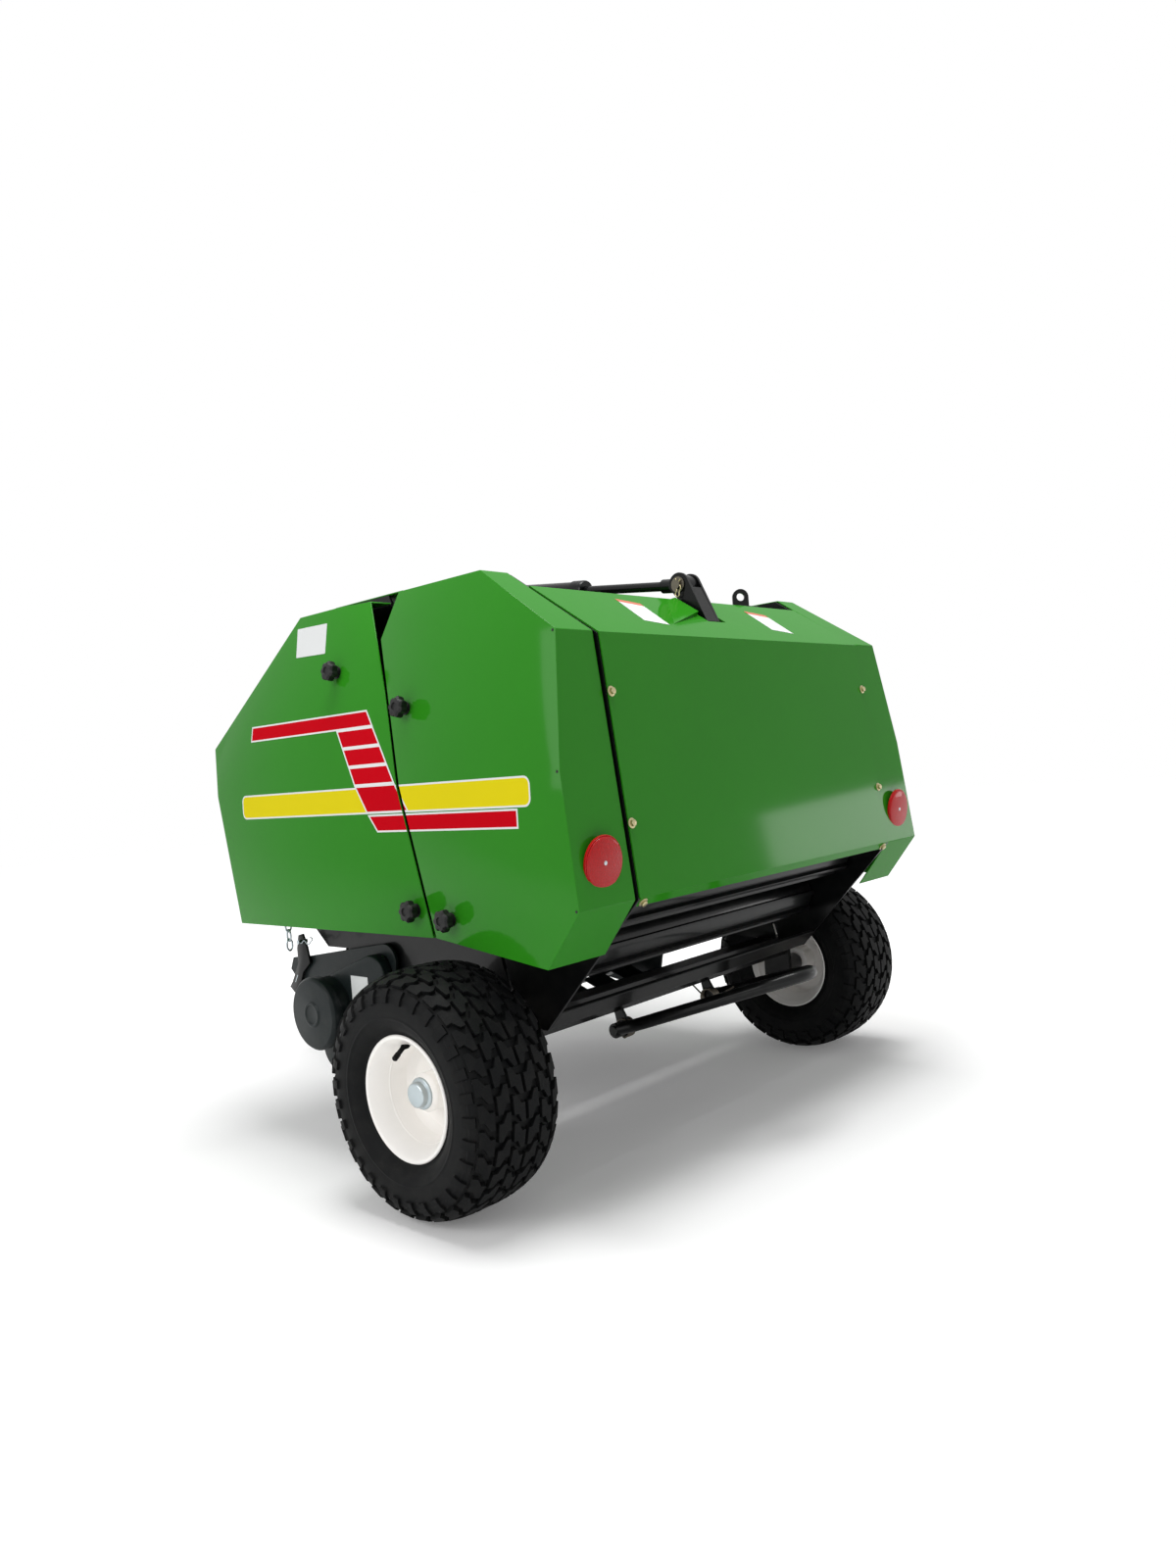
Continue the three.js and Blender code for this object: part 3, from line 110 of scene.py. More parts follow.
# %% [markdown]
# ## Node groups that several finishes share
# Sprayed enamel is never quite even: it has a faint ripple called orange peel, the colour drifts a
# little from panel to panel, and dust settles low down and on faces that look up. One group works
# all of that out from Object coordinates, and each paint passes in its own colour and amounts.

# %% Small helpers for node trees
def srgb(red, green, blue):
    """A colour in 0-255 display values as linear light, with an alpha of 1."""
    def linear(value):
        value /= 255
        return value / 12.92 if value <= 0.04045 else ((value + 0.055) / 1.055) ** 2.4
    return (linear(red), linear(green), linear(blue), 1.0)


def new_group(name, inputs, outputs):
    """An empty shader group; inputs and outputs map a socket's name to its type and value."""
    group = bpy.data.node_groups.new(name, "ShaderNodeTree")
    for direction, sockets in (("INPUT", inputs), ("OUTPUT", outputs)):
        for socket_name, (kind, value) in sockets.items():
            socket = group.interface.new_socket(socket_name, in_out=direction, socket_type=kind)
            if value is not None:
                socket.default_value = value
    return group, group.nodes.new("NodeGroupInput"), group.nodes.new("NodeGroupOutput")


def add_node(tree, kind, **settings):
    """A node with its properties and, by name or number, its inputs set or linked."""
    node = tree.nodes.new(kind)
    for key, value in settings.items():
        if key != "inputs":
            setattr(node, key, value)
    for key, value in settings.get("inputs", {}).items():
        if isinstance(value, bpy.types.NodeSocket):
            tree.links.new(value, node.inputs[key])
        else:
            node.inputs[key].default_value = value
    return node


def calculate(tree, operation, *values, clamp=False):
    return add_node(tree, "ShaderNodeMath", operation=operation, use_clamp=clamp,
                    inputs=dict(enumerate(values))).outputs[0]


# %% The surface group
COLOUR, NUMBER, VECTOR = "NodeSocketColor", "NodeSocketFloat", "NodeSocketVector"


def surface_group():
    group, given, result = new_group(
        "uneven surface",
        {
            "Color": (COLOUR, (0.5, 0.5, 0.5, 1)), "Dust Color": (COLOUR, srgb(150, 146, 138)),
            "Roughness": (NUMBER, 0.3), "Drift": (NUMBER, 0.06), "Dust": (NUMBER, 0.1),
            "Ripple Scale": (NUMBER, 260.0), "Ripple Height": (NUMBER, 0.05),
        },
        {"Color": (COLOUR, None), "Roughness": (NUMBER, None), "Normal": (VECTOR, None)},
    )
    place = add_node(group, "ShaderNodeTexCoord").outputs["Object"]
    drift = add_node(group, "ShaderNodeTexNoise", inputs={"Vector": place, "Scale": 2.6, "Detail": 3.0})
    specks = add_node(group, "ShaderNodeTexNoise", inputs={"Vector": place, "Scale": 38.0, "Detail": 6.0})
    ripple = add_node(group, "ShaderNodeTexNoise",
                      inputs={"Vector": place, "Scale": given.outputs["Ripple Scale"], "Detail": 2.0})
    centred = calculate(group, "SUBTRACT", drift.outputs["Fac"], 0.5)
    value = calculate(group, "MULTIPLY_ADD", centred, given.outputs["Drift"], 1.0)
    shaded = add_node(group, "ShaderNodeHueSaturation",
                      inputs={"Color": given.outputs["Color"], "Value": value}).outputs["Color"]
    height = add_node(group, "ShaderNodeSeparateXYZ", inputs={"Vector": place}).outputs["Z"]
    low = add_node(group, "ShaderNodeMapRange",
                   inputs={"Value": height, "From Min": 0.75, "From Max": 0.0}).outputs["Result"]
    facing = add_node(group, "ShaderNodeNewGeometry").outputs["Normal"]
    upward = add_node(group, "ShaderNodeSeparateXYZ", inputs={"Vector": facing}).outputs["Z"]
    up = calculate(group, "MULTIPLY", upward, 0.6, clamp=True)
    settled = calculate(group, "ADD", low, up, clamp=True)
    patchy = add_node(group, "ShaderNodeMapRange",
                      inputs={"Value": specks.outputs["Fac"], "From Min": 0.4, "From Max": 0.75})
    patches = calculate(group, "MULTIPLY", settled, patchy.outputs["Result"])
    dust = calculate(group, "MULTIPLY", patches, given.outputs["Dust"])
    colour = add_node(group, "ShaderNodeMix", data_type="RGBA",
                      inputs={0: dust, 6: shaded, 7: given.outputs["Dust Color"]}).outputs[2]
    rough = calculate(group, "MULTIPLY_ADD", dust, 0.6, given.outputs["Roughness"])
    smudged = calculate(group, "MULTIPLY_ADD", centred, 0.12, rough, clamp=True)
    bump = add_node(group, "ShaderNodeBump",
                    inputs={"Strength": given.outputs["Ripple Height"], "Distance": 0.001,
                            "Height": ripple.outputs["Fac"]})
    for name, socket in (("Color", colour), ("Roughness", smudged), ("Normal", bump.outputs["Normal"])):
        group.links.new(socket, result.inputs[name])
    return group


UNEVEN = surface_group()
print("group inputs", [item.name for item in UNEVEN.interface.items_tree if item.in_out == "INPUT"])

# %% [markdown]
# ## The finishes
# Gloss comes from a clear coat over a slightly rougher colour, as on real enamel. What is the same
# all over a surface, such as the coat or how metallic it is, is a plain number on the shader itself.

# %% A material from the shared group
def finish(name, colour, roughness, metallic=0.0, coat=0.0, coat_roughness=0.05, specular=0.5,
           drift=0.06, dust=0.1, ripple=(260.0, 0.05)):
    """ripple is the orange peel's scale and height."""
    material = bpy.data.materials.new(name)
    material.use_nodes = True
    tree = material.node_tree
    shader = tree.nodes["Principled BSDF"]
    for socket, value in (("Metallic", metallic), ("Coat Weight", coat), ("Coat Roughness", coat_roughness),
                          ("Specular IOR Level", specular)):
        shader.inputs[socket].default_value = value
    uneven = add_node(tree, "ShaderNodeGroup", node_tree=UNEVEN,
                      inputs={"Color": colour, "Roughness": roughness, "Drift": drift, "Dust": dust,
                              "Ripple Scale": ripple[0], "Ripple Height": ripple[1]})
    for output, socket in (("Color", "Base Color"), ("Roughness", "Roughness"), ("Normal", "Normal")):
        tree.links.new(uneven.outputs[output], shader.inputs[socket])
    return material


# %% Enamels and rubber
green = finish("green enamel", srgb(42, 128, 24), 0.42, coat=0.30, coat_roughness=0.08, specular=0.0,
               drift=0.16, dust=0.02, ripple=(120.0, 0.03))
black = finish("black enamel", srgb(6, 7, 8), 0.34, coat=0.22, coat_roughness=0.10, specular=0.12,
               dust=0.03, ripple=(260.0, 0.10))
anthracite = finish("anthracite enamel", srgb(22, 29, 30), 0.45, coat=0.12, coat_roughness=0.2,
                    specular=0.12, dust=0.04, ripple=(260.0, 0.12))
cream = finish("cream enamel", srgb(252, 249, 245), 0.34, coat=0.4, coat_roughness=0.1, specular=0.3,
               dust=0.03, drift=0.04)
rubber = finish("tyre rubber", srgb(6, 7, 8), 0.6, specular=0.12, dust=0.02, drift=0.2, ripple=(420.0, 0.25))
knob_plastic = finish("knob plastic", srgb(9, 9, 10), 0.5, specular=0.3, ripple=(700.0, 0.2))

# %% Plated metals and vinyls
zinc = finish("zinc plate", srgb(176, 186, 190), 0.30, metallic=1.0, drift=0.25, dust=0.15,
              ripple=(90.0, 0.08))
dull_steel = finish("dull steel", srgb(104, 98, 88), 0.42, metallic=1.0, drift=0.4, dust=0.3)
yellow_zinc = finish("yellow zinc plate", srgb(176, 166, 128), 0.34, metallic=1.0, drift=0.25, dust=0.15)
red_vinyl = finish("red vinyl", srgb(192, 4, 22), 0.45, coat=0.05, specular=0.0, drift=0.08, dust=0.02)
yellow_vinyl = finish("yellow vinyl", srgb(220, 204, 20), 0.45, coat=0.1, specular=0.0, drift=0.08, dust=0.02)
white_vinyl = finish("white vinyl", srgb(222, 224, 224), 0.45, coat=0.1, specular=0.1, drift=0.04, dust=0.05)
orange_vinyl = finish("orange vinyl", srgb(196, 92, 60), 0.42, coat=0.15, specular=0.2, drift=0.05, dust=0.05)
SLOT_FINISH = {
    "green_paint": green, "black_paint": black, "anthracite_paint": anthracite, "cream_paint": cream,
    "tyre_rubber": rubber, "bright_steel": zinc,
}

# %% [markdown]
# ## The red reflectors' plastic
# A reflector is clear red plastic over thousands of small prisms. Seen from a walk away the prisms
# are only a fine glitter, so a cell pattern tilts the light under a smooth coat and also paints the
# cells lighter and darker in the red, a painted glitter.

# %% Reflector plastic
LENS_RED = srgb(186, 10, 16)
PRISM_SCALE = 420.0


def reflector_plastic():
    material = finish("reflector plastic", LENS_RED, 0.3, coat=0.3, specular=0.1, dust=0.02)
    tree = material.node_tree
    shader = tree.nodes["Principled BSDF"]
    place = add_node(tree, "ShaderNodeTexCoord").outputs["Object"]
    cells = add_node(tree, "ShaderNodeTexVoronoi",
                     inputs={"Vector": place, "Scale": PRISM_SCALE}).outputs["Distance"]
    bump = add_node(tree, "ShaderNodeBump", inputs={"Strength": 0.5, "Distance": 0.001, "Height": cells})
    # Painted glitter: each cell's red is made lighter or darker, standing for light off the prisms.
    painted_glitter = add_node(tree, "ShaderNodeMapRange", inputs={"Value": cells, "To Min": 0.75, "To Max": 1.1})
    tinted = add_node(tree, "ShaderNodeHueSaturation",
                      inputs={"Color": LENS_RED, "Value": painted_glitter.outputs["Result"]})
    tree.links.new(bump.outputs["Normal"], shader.inputs["Normal"])
    tree.links.new(tinted.outputs["Color"], shader.inputs["Base Color"])
    return material


red_plastic = reflector_plastic()
SLOT_FINISH["red_lens"] = red_plastic
print("finishes", len(bpy.data.materials))

# %% [markdown]
# ## Turning a bmesh into a finished piece
# Every piece ends the same way: its faces are pointed outwards, it becomes an object that stays at
# the origin, faces that meet at a small angle are shaded as one smooth skin, it is hung on the body
# it moves with, it takes its finishes, and the solids it stands for are hidden. Most shapes are
# moved, softened, extruded or joined on the way, so each of those has a helper.

# %% Finishing a piece
SMOOTH_BELOW = math.radians(32)
SMOOTH_FOLD = math.radians(30)


def piece(name, bm, materials, body, replaces=(), recalculate=True, keep_shading=False):
    """recalculate is left out where pieces were joined; keep_shading leaves flat faces flat."""
    if recalculate:
        bmesh.ops.remove_doubles(bm, verts=bm.verts, dist=1e-6)
        bmesh.ops.recalc_face_normals(bm, faces=bm.faces)
    mesh = bpy.data.meshes.new(name)
    bm.to_mesh(mesh)
    bm.free()
    if "custom_normal" in mesh.attributes:
        mesh.attributes.remove(mesh.attributes["custom_normal"])
    for material in materials if isinstance(materials, list) else [materials]:
        mesh.materials.append(material)
    shading = [face.use_smooth or not keep_shading for face in mesh.polygons]
    mesh.set_sharp_from_angle(angle=SMOOTH_BELOW)
    mesh.polygons.foreach_set("use_smooth", shading)
    thing = bpy.data.objects.new(name, mesh)
    bpy.context.scene.collection.objects.link(thing)
    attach(thing, body)
    if replaces:
        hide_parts(*replaces)
    return thing


# %% Small helpers for shapes
def moved(bm, distance):
    bmesh.ops.translate(bm, verts=bm.verts, vec=distance)
    return bm


def grown(bm, faces, distance):
    """Extrudes faces along a distance."""
    new = bmesh.ops.extrude_face_region(bm, geom=faces)["geom"]
    verts = [item for item in new if isinstance(item, bmesh.types.BMVert)]
    bmesh.ops.translate(bm, verts=verts, vec=distance)
    return bm


def plate(corners, thickness):
    """One face on the corners, extruded along a vector."""
    bm = bmesh.new()
    return grown(bm, [bm.faces.new([bm.verts.new(corner) for corner in corners])], thickness)


def cuboid(size, centre):
    bm = bmesh.new()
    bmesh.ops.create_cube(bm, size=1.0)
    bmesh.ops.scale(bm, vec=size, verts=bm.verts)
    return moved(bm, centre)


def rounded(bm, edges, width_mm, segments):
    bmesh.ops.bevel(bm, geom=edges, offset=width_mm * MM, offset_type="OFFSET", segments=segments,
                    profile=0.5, affect="EDGES", clamp_overlap=True, material=-1)
    return bm


def soften(bm, width_mm, segments=2):
    """Rounds the edges of a new shape that are sharper than SMOOTH_FOLD."""
    bmesh.ops.recalc_face_normals(bm, faces=bm.faces)
    edges = [edge for edge in bm.edges if len(edge.link_faces) == 2 and edge.calc_face_angle() > SMOOTH_FOLD]
    return rounded(bm, edges, width_mm, segments)


def add_to(bm, other):
    """Puts a second bmesh into the first."""
    carrier = bpy.data.meshes.new("carrier")
    other.to_mesh(carrier)
    other.free()
    bm.from_mesh(carrier)
    bpy.data.meshes.remove(carrier)
    return bm


# %% [markdown]
# ## Sheet metal and frame with rounded edges
# A folded sheet never has a knife edge: the fold has a small radius, and that radius catches a thin
# line of light that tells the eye it is metal. Each solid's mesh is copied, its loose triangles are
# joined into whole faces, and every sharp edge gets a bevel as wide as that metal's real radius.

# %% Easing the edges of the solid model's pieces
SHARP = math.radians(20)    # a sharper edge is a fold or a cut, and is rounded
FLAT = math.radians(1.5)    # faces that meet at less lie in one plane
ALIKE = 0.02                # two directions nearer than this are the same
JOIN, ONE_FACE = 2e-5, math.radians(0.6)


def joined_copy(node):
    """The node's mesh as one skin of whole faces."""
    bm = bmesh.new()
    bm.from_mesh(frame["nodes"][node].data)
    bmesh.ops.remove_doubles(bm, verts=bm.verts, dist=JOIN)
    bmesh.ops.dissolve_limit(bm, angle_limit=ONE_FACE, verts=bm.verts, edges=bm.edges)
    return bm


def eased(node, width_mm):
    """Flat faces stay flat-shaded, so that a fold's shading can't spread over a whole panel."""
    bm = joined_copy(node)
    inner = [edge for edge in bm.edges if len(edge.link_faces) == 2]
    curved = {face for edge in inner if FLAT < edge.calc_face_angle() <= SHARP for face in edge.link_faces}
    flat = KDTree(len(bm.faces))
    for number, face in enumerate(bm.faces):
        if face not in curved:
            flat.insert(face.normal, number)
    flat.balance()
    sharp = [edge for edge in inner if edge.calc_face_angle() > SHARP]
    rounded(bm, sharp, width_mm, 2)
    bm.normal_update()
    for face in bm.faces:
        nearest = flat.find(face.normal)[2]
        face.smooth = nearest is None or nearest > ALIKE
    return piece(f"{node}_eased", bm, SLOT_FINISH[SLOT_OF[node]], BODY_OF[node], [node],
                 recalculate=False, keep_shading=True)


EDGE_MM = {
    "front_cover_right": 1.2, "front_cover_left": 1.2, "rear_cover_right": 1.2, "rear_cover_left": 1.2,
    "tailgate_panel": 1.2, "hood": 1.0, "twine_lid": 1.2, "twine_box": 1.0,
    "side_wall_right": 1.0, "side_wall_left": 1.0, "tailgate_side_right": 1.0, "tailgate_side_left": 1.0,
    "tailgate_beam": 3.0, "tailgate_crossbar": 1.5, "rod_bracket": 1.2, "top_beam": 1.0,
    "axle_beam": 1.5, "front_crossbeam": 4.0, "drawbar": 4.0, "hitch_clevis": 1.5, "gearbox": 5.0,
    "pickup_side_right": 1.5, "pickup_side_left": 1.5, "jack_sleeve": 0.8, "jack_leg": 0.8,
    "input_shaft": 0.8, "feed_deck": 0.8,
}
for node, width in EDGE_MM.items():
    eased(node, width)
for node in ["pickup_bands", "crop_guard", "pickup_reel"] + [f"tine_bar_{number}" for number in range(1, 5)]:
    materials = frame["nodes"][node].data.materials
    materials.clear()
    materials.append(SLOT_FINISH[SLOT_OF[node]])
print("eased", len(EDGE_MM), "pieces")

# %% [markdown]
# ## Turned parts
# A wheel rim, a hub cap or a drive cover is a profile turned round a shaft. `turned` draws the
# profile as a chain of vertices at a radius and a distance along the x axis, then spins it a full
# turn and merges the seam.

# %% Turning a profile
def turned(profile_mm, steps=64, closed=False, centre=(0, 0, 0), outward=1):
    """profile_mm holds (radius, x) pairs; outward is -1 for a piece on the machine's left."""
    bm = bmesh.new()
    chain = [bm.verts.new((outward * x * MM, radius * MM, 0)) for radius, x in profile_mm]
    links = [bm.edges.new(pair) for pair in zip(chain, chain[1:])]
    if closed:
        links.append(bm.edges.new((chain[-1], chain[0])))
    bmesh.ops.spin(bm, geom=chain + links, cent=(0, 0, 0), axis=(1, 0, 0), angle=2 * math.pi,
                   steps=steps, use_merge=True)
    bmesh.ops.remove_doubles(bm, verts=bm.verts, dist=1e-6)
    return moved(bm, centre)


def standing(bm, point, direction):
    """Turns a shape made along the x axis so that it stands on a point along a direction."""
    turn = Vector((1, 0, 0)).rotation_difference(Vector(direction)).to_matrix().to_4x4()
    bmesh.ops.transform(bm, matrix=Matrix.Translation(point) @ turn, verts=bm.verts)
    return bm


# %% [markdown]
# ## The tyre's section
# A turf tyre is wide and low, with a nearly flat crown and round shoulders. A superellipse, which is
# an ellipse with squarer corners, gives that section from one formula. The walk along it is kept in
# a list with its length, so that a tread block can be laid anywhere on it and stand square to it.

# %% The section from the crown to the bead
TYRE_HALF_WIDTH, TYRE_MIDDLE_RADIUS, TREAD_DEPTH = 102.0, 165.0, 8.0
CROWN_RADIUS = TYRE_RADIUS / MM - TREAD_DEPTH
CROWN_SQUARENESS, WALL_SQUARENESS, WALL_HEIGHT, SWEEP = 3.1, 2.5, 62.0, 128
BEAD_RADIUS, BEAD_X = 103.0, 74.0
RIDGES = ((150.0, 4.0, 1.4), (191.0, 3.0, 1.2))    # radius, half width and height of the wall's rings


def tyre_section(steps=90):
    points = []
    for step in range(steps + 1):
        turn = math.radians(90 - SWEEP * step / steps)
        squareness, height = WALL_SQUARENESS, WALL_HEIGHT
        if turn > 0:
            squareness, height = CROWN_SQUARENESS, CROWN_RADIUS - TYRE_MIDDLE_RADIUS
        radius = TYRE_MIDDLE_RADIUS + math.copysign(abs(math.sin(turn)) ** (2 / squareness), turn) * height
        x = TYRE_HALF_WIDTH * abs(math.cos(turn)) ** (2 / squareness)
        for ridge, half, rise in RIDGES:
            x += rise * max(0.0, 1 - abs(radius - ridge) / half)
        points.append((radius, x))
    return points + [(BEAD_RADIUS + 4, BEAD_X + 5), (BEAD_RADIUS, BEAD_X)]


section = tyre_section()
section_length = [0.0]
for (r0, x0), (r1, x1) in zip(section, section[1:]):
    section_length.append(section_length[-1] + math.hypot(r1 - r0, x1 - x0))


def on_section(along, height):
    """The (radius, x) that lies a way along the section from the crown and a height above it."""
    side, along = math.copysign(1, along), abs(along)
    index = max(i for i, length in enumerate(section_length[:-2]) if length <= along)
    share = (along - section_length[index]) / (section_length[index + 1] - section_length[index])
    (r0, x0), (r1, x1) = section[index], section[index + 1]
    length = math.hypot(r1 - r0, x1 - x0)
    out_r, out_x = (x1 - x0) / length, -(r1 - r0) / length
    return r0 + (r1 - r0) * share + out_r * height, side * (x0 + (x1 - x0) * share + out_x * height)


print("half section is", round(section_length[-1]), "mm long, bead at", section[-1])

# %% [markdown]
# ## The tread
# Turf tread is rows of dog-legged blocks. Each block runs straight, steps sideways and runs straight
# again, and the next row steps back, so a zigzag of rubber crosses the tyre. Big lugs carry on down
# the shoulder. A block is a cube cut twice across and bent; one pitch of them is copied all round.

# %% Tread blocks
PITCHES = 30
ROWS = [(-80.0, 27.5, 1), (-48.5, 27.5, -1), (-16.5, 28.5, 1),
        (16.5, 28.5, -1), (48.5, 27.5, 1), (80.0, 27.5, -1)]    # place, width and the side it steps to
SHIFTED_ROWS = (1, 4)    # half a pitch on from the others
LUG_ROW, LUG_WIDTH, LUG_RISE, LUG_SHARE = 110.0, 27.0, 4.5, 0.62
BLOCK_LENGTH, BEND, BEND_STEEPNESS, BLOCK_SINK, BLOCK_TAPER = 35.5, 8.0, 6, 1.5, 0.90


def block(along, width, length, bend, turn, rise):
    """A dog-legged block a way along the section, at a turn round the tyre in radians."""
    bm = bmesh.new()
    bmesh.ops.create_cube(bm, size=1.0)
    across = [edge for edge in bm.edges if abs(edge.verts[0].co.x - edge.verts[1].co.x) > 0.5]
    bmesh.ops.subdivide_edges(bm, edges=across, cuts=2, use_grid_fill=True)
    for vert in bm.verts:
        narrower = 1.0 if vert.co.z < 0 else BLOCK_TAPER
        lateral = along + vert.co.x * width * narrower
        step = max(-1.0, min(1.0, vert.co.x * BEND_STEEPNESS))
        forward = vert.co.y * length * narrower + bend * step
        radius, x = on_section(lateral, rise if vert.co.z > 0 else -BLOCK_SINK)
        angle = turn + forward / (TYRE_RADIUS / MM)
        vert.co = (x * MM, radius * MM * math.cos(angle), radius * MM * math.sin(angle))
    return bm


def tread():
    """One pitch of blocks and lugs, copied round the tyre."""
    bm = bmesh.new()
    pitch = 2 * math.pi / PITCHES
    for row, (along, width, bend) in enumerate(ROWS):
        shift = 0.5 * pitch if row in SHIFTED_ROWS else 0.0
        add_to(bm, block(along, width, BLOCK_LENGTH, BEND * bend, shift, TREAD_DEPTH))
    for side in (-1, 1):
        shift = -side * BEND / (TYRE_RADIUS / MM)
        add_to(bm, block(side * LUG_ROW, LUG_WIDTH, BLOCK_LENGTH * LUG_SHARE, 0.0, shift, LUG_RISE))
    bmesh.ops.spin(bm, geom=bm.verts[:] + bm.edges[:] + bm.faces[:], cent=(0, 0, 0), axis=(1, 0, 0),
                   angle=pitch * (PITCHES - 1), steps=PITCHES - 1, use_duplicate=True)
    return bm


def tyre(side):
    whole = [(radius, -x) for radius, x in reversed(section)] + section[1:]
    bm = turned(whole + [(BEAD_RADIUS, 0.0)], steps=112, closed=True)
    add_to(bm, tread())
    bmesh.ops.recalc_face_normals(bm, faces=bm.faces)
    return piece(f"tyre_{side}_treaded", moved(bm, middle(f"tyre_{side}")), rubber, f"wheel_{side}",
                 [f"tyre_{side}"])


for side in SIDES:
    treaded = tyre(side)
    print(treaded.name, len(treaded.data.polygons), "faces")

# %% [markdown]
# ## Rim, hub cap and valve
# The rim is pressed sheet: a rolled lip, a seat for the bead, a deep well and a dish welded near the
# middle. It is one closed profile, turned, with its ring edges rounded. The zinc cap over the axle's
# end is two steps, and the rubber valve leans out of the well close to the lip.

# %% Rims
RIM_PROFILE = [
    (36, -0.1), (74, 0), (85, 14), (88, 40), (96, 64), (103, 76), (109, 85), (114, 86.5), (117, 84),
    (115, 80), (106, 77), (101.6, 73), (101.6, 59), (90, 49), (89.6, -49), (101.6, -59), (101.6, -76),
    (114, -85), (110, -86), (97.6, -65), (85.6, -47), (85.6, -6), (74, -4), (36, -4), (36, -44),
    (16.5, -44), (16.5, 45), (30, 45), (36, 38),
]
HUB_CAP = [(0, 62), (20.5, 62), (23, 60), (23, 50), (28.5, 49), (29.5, 47), (29.5, 41), (33, 40), (33, 37),
           (0, 37)]
VALVE = [(0, -4), (9, -4), (9, 0), (6.5, 4), (4.6, 8), (4.6, 22), (5.4, 23), (5.4, 35), (4, 37), (0, 37)]
VALVE_TURN, VALVE_RADIUS, VALVE_X = math.radians(109), 92, 52
VALVE_LEAN = (0.9, 0.55)    # outwards and towards the middle

across, up = math.cos(VALVE_TURN), math.sin(VALVE_TURN)
for side, outward in SIDES.items():
    hub, body = middle(f"rim_{side}"), f"wheel_{side}"
    rim = soften(turned(RIM_PROFILE, steps=96, closed=True, centre=hub, outward=outward), 1.2)
    piece(f"rim_{side}_pressed", rim, cream, body, [f"rim_{side}"])
    cap = soften(turned(HUB_CAP, 48, centre=hub, outward=outward), 0.8)
    piece(f"hub_cap_{side}", cap, zinc, body)
    seat = hub + Vector((outward * VALVE_X, -across * VALVE_RADIUS, up * VALVE_RADIUS)) * MM
    lean = Vector((outward * VALVE_LEAN[0], across * VALVE_LEAN[1], -up * VALVE_LEAN[1])).normalized()
    piece(f"valve_{side}", standing(turned(VALVE, 20), seat, lean), rubber, body)
print("valve at", tuple(round(v, 3) for v in seat))

# %% [markdown]
# ## The ribbed rollers
# Each roller is a rolled steel tube with eight pressed ribs, on a shaft. One end ring is drawn as a
# fine circle whose points are pushed out at the ribs, and it is extruded to the far end. A roller is
# then a copy of that shape at its own shaft.

# %% Rollers
RING_POINTS, RIBS = 144, 8
ROLLER_RADIUS_MM, RIB_MM = 50.0, 8.0
RIB_TOP, RIB_FOOT = math.radians(5.0), math.radians(7.5)
SHAFT_MM, SHAFT_RADIUS, SHAFT_SHOWS = 11.0, 12.5, 0.012
ROLLERS = [node for node in frame["nodes"] if "roller" in node]
roller_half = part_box("floor_roller")[1].x - SHAFT_SHOWS
shaft = [(0, 0), (SHAFT_RADIUS, 0), (SHAFT_RADIUS, SHAFT_MM), (0, SHAFT_MM)]


def rib_share(angle):
    """How far out the tube stands at an angle: 1 on a rib's top, falling smoothly to 0 beside it."""
    away = abs((angle + math.pi / RIBS) % (2 * math.pi / RIBS) - math.pi / RIBS)
    return max(0.0, min(1.0, (RIB_FOOT - away) / (RIB_FOOT - RIB_TOP)))


def roller(centre):
    bm = bmesh.new()
    bmesh.ops.create_circle(bm, cap_ends=True, segments=RING_POINTS, radius=1.0)
    for vert in bm.verts:
        angle = math.atan2(vert.co.y, vert.co.x)
        radius = (ROLLER_RADIUS_MM + RIB_MM * rib_share(angle)) * MM
        vert.co = (-roller_half, radius * math.cos(angle), radius * math.sin(angle))
    grown(bm, bm.faces[:], (2 * roller_half, 0, 0))
    for start in (-roller_half - SHAFT_MM * MM, roller_half):
        add_to(bm, turned(shaft, 20, centre=(start, 0, 0)))
    return moved(bm, centre)


for node in ROLLERS:
    piece(f"{node}_ribbed", roller(JOINT_AT[f"{node}_spin"]), black, node, [node])
print("rollers", len(ROLLERS))

# %% [markdown]
# ## The bale ramp
# A bent tube hangs on two pins behind the axle and rolls the finished bale away. A Bezier curve with
# automatic handles runs smoothly through its few bends, and a round bevel gives it thickness. The
# curve is made into a mesh, since everything else here is one too.

# %% A tube along a smooth curve
def tube(points, radius_mm, closed=False, ring=5, steps=10):
    curve = bpy.data.curves.new("path", "CURVE")
    curve.dimensions = "3D"
    curve.bevel_depth, curve.bevel_resolution = radius_mm * MM, ring
    curve.resolution_u, curve.use_fill_caps = steps, True
    spline = curve.splines.new("BEZIER")
    spline.bezier_points.add(len(points) - 1)
    for knot, point in zip(spline.bezier_points, points):
        knot.co = point
        knot.handle_left_type = knot.handle_right_type = "AUTO"
    spline.use_cyclic_u = closed
    carrier = bpy.data.objects.new("path", curve)
    bpy.context.scene.collection.objects.link(carrier)
    bpy.context.view_layer.update()
    mesh = bpy.data.meshes.new_from_object(carrier.evaluated_get(bpy.context.evaluated_depsgraph_get()))
    bm = bmesh.new()
    bm.from_mesh(mesh)
    bpy.data.objects.remove(carrier)
    bpy.data.curves.remove(curve)
    bpy.data.meshes.remove(mesh)
    bmesh.ops.remove_doubles(bm, verts=bm.verts, dist=1e-6)
    bmesh.ops.recalc_face_normals(bm, faces=bm.faces)
    return bm


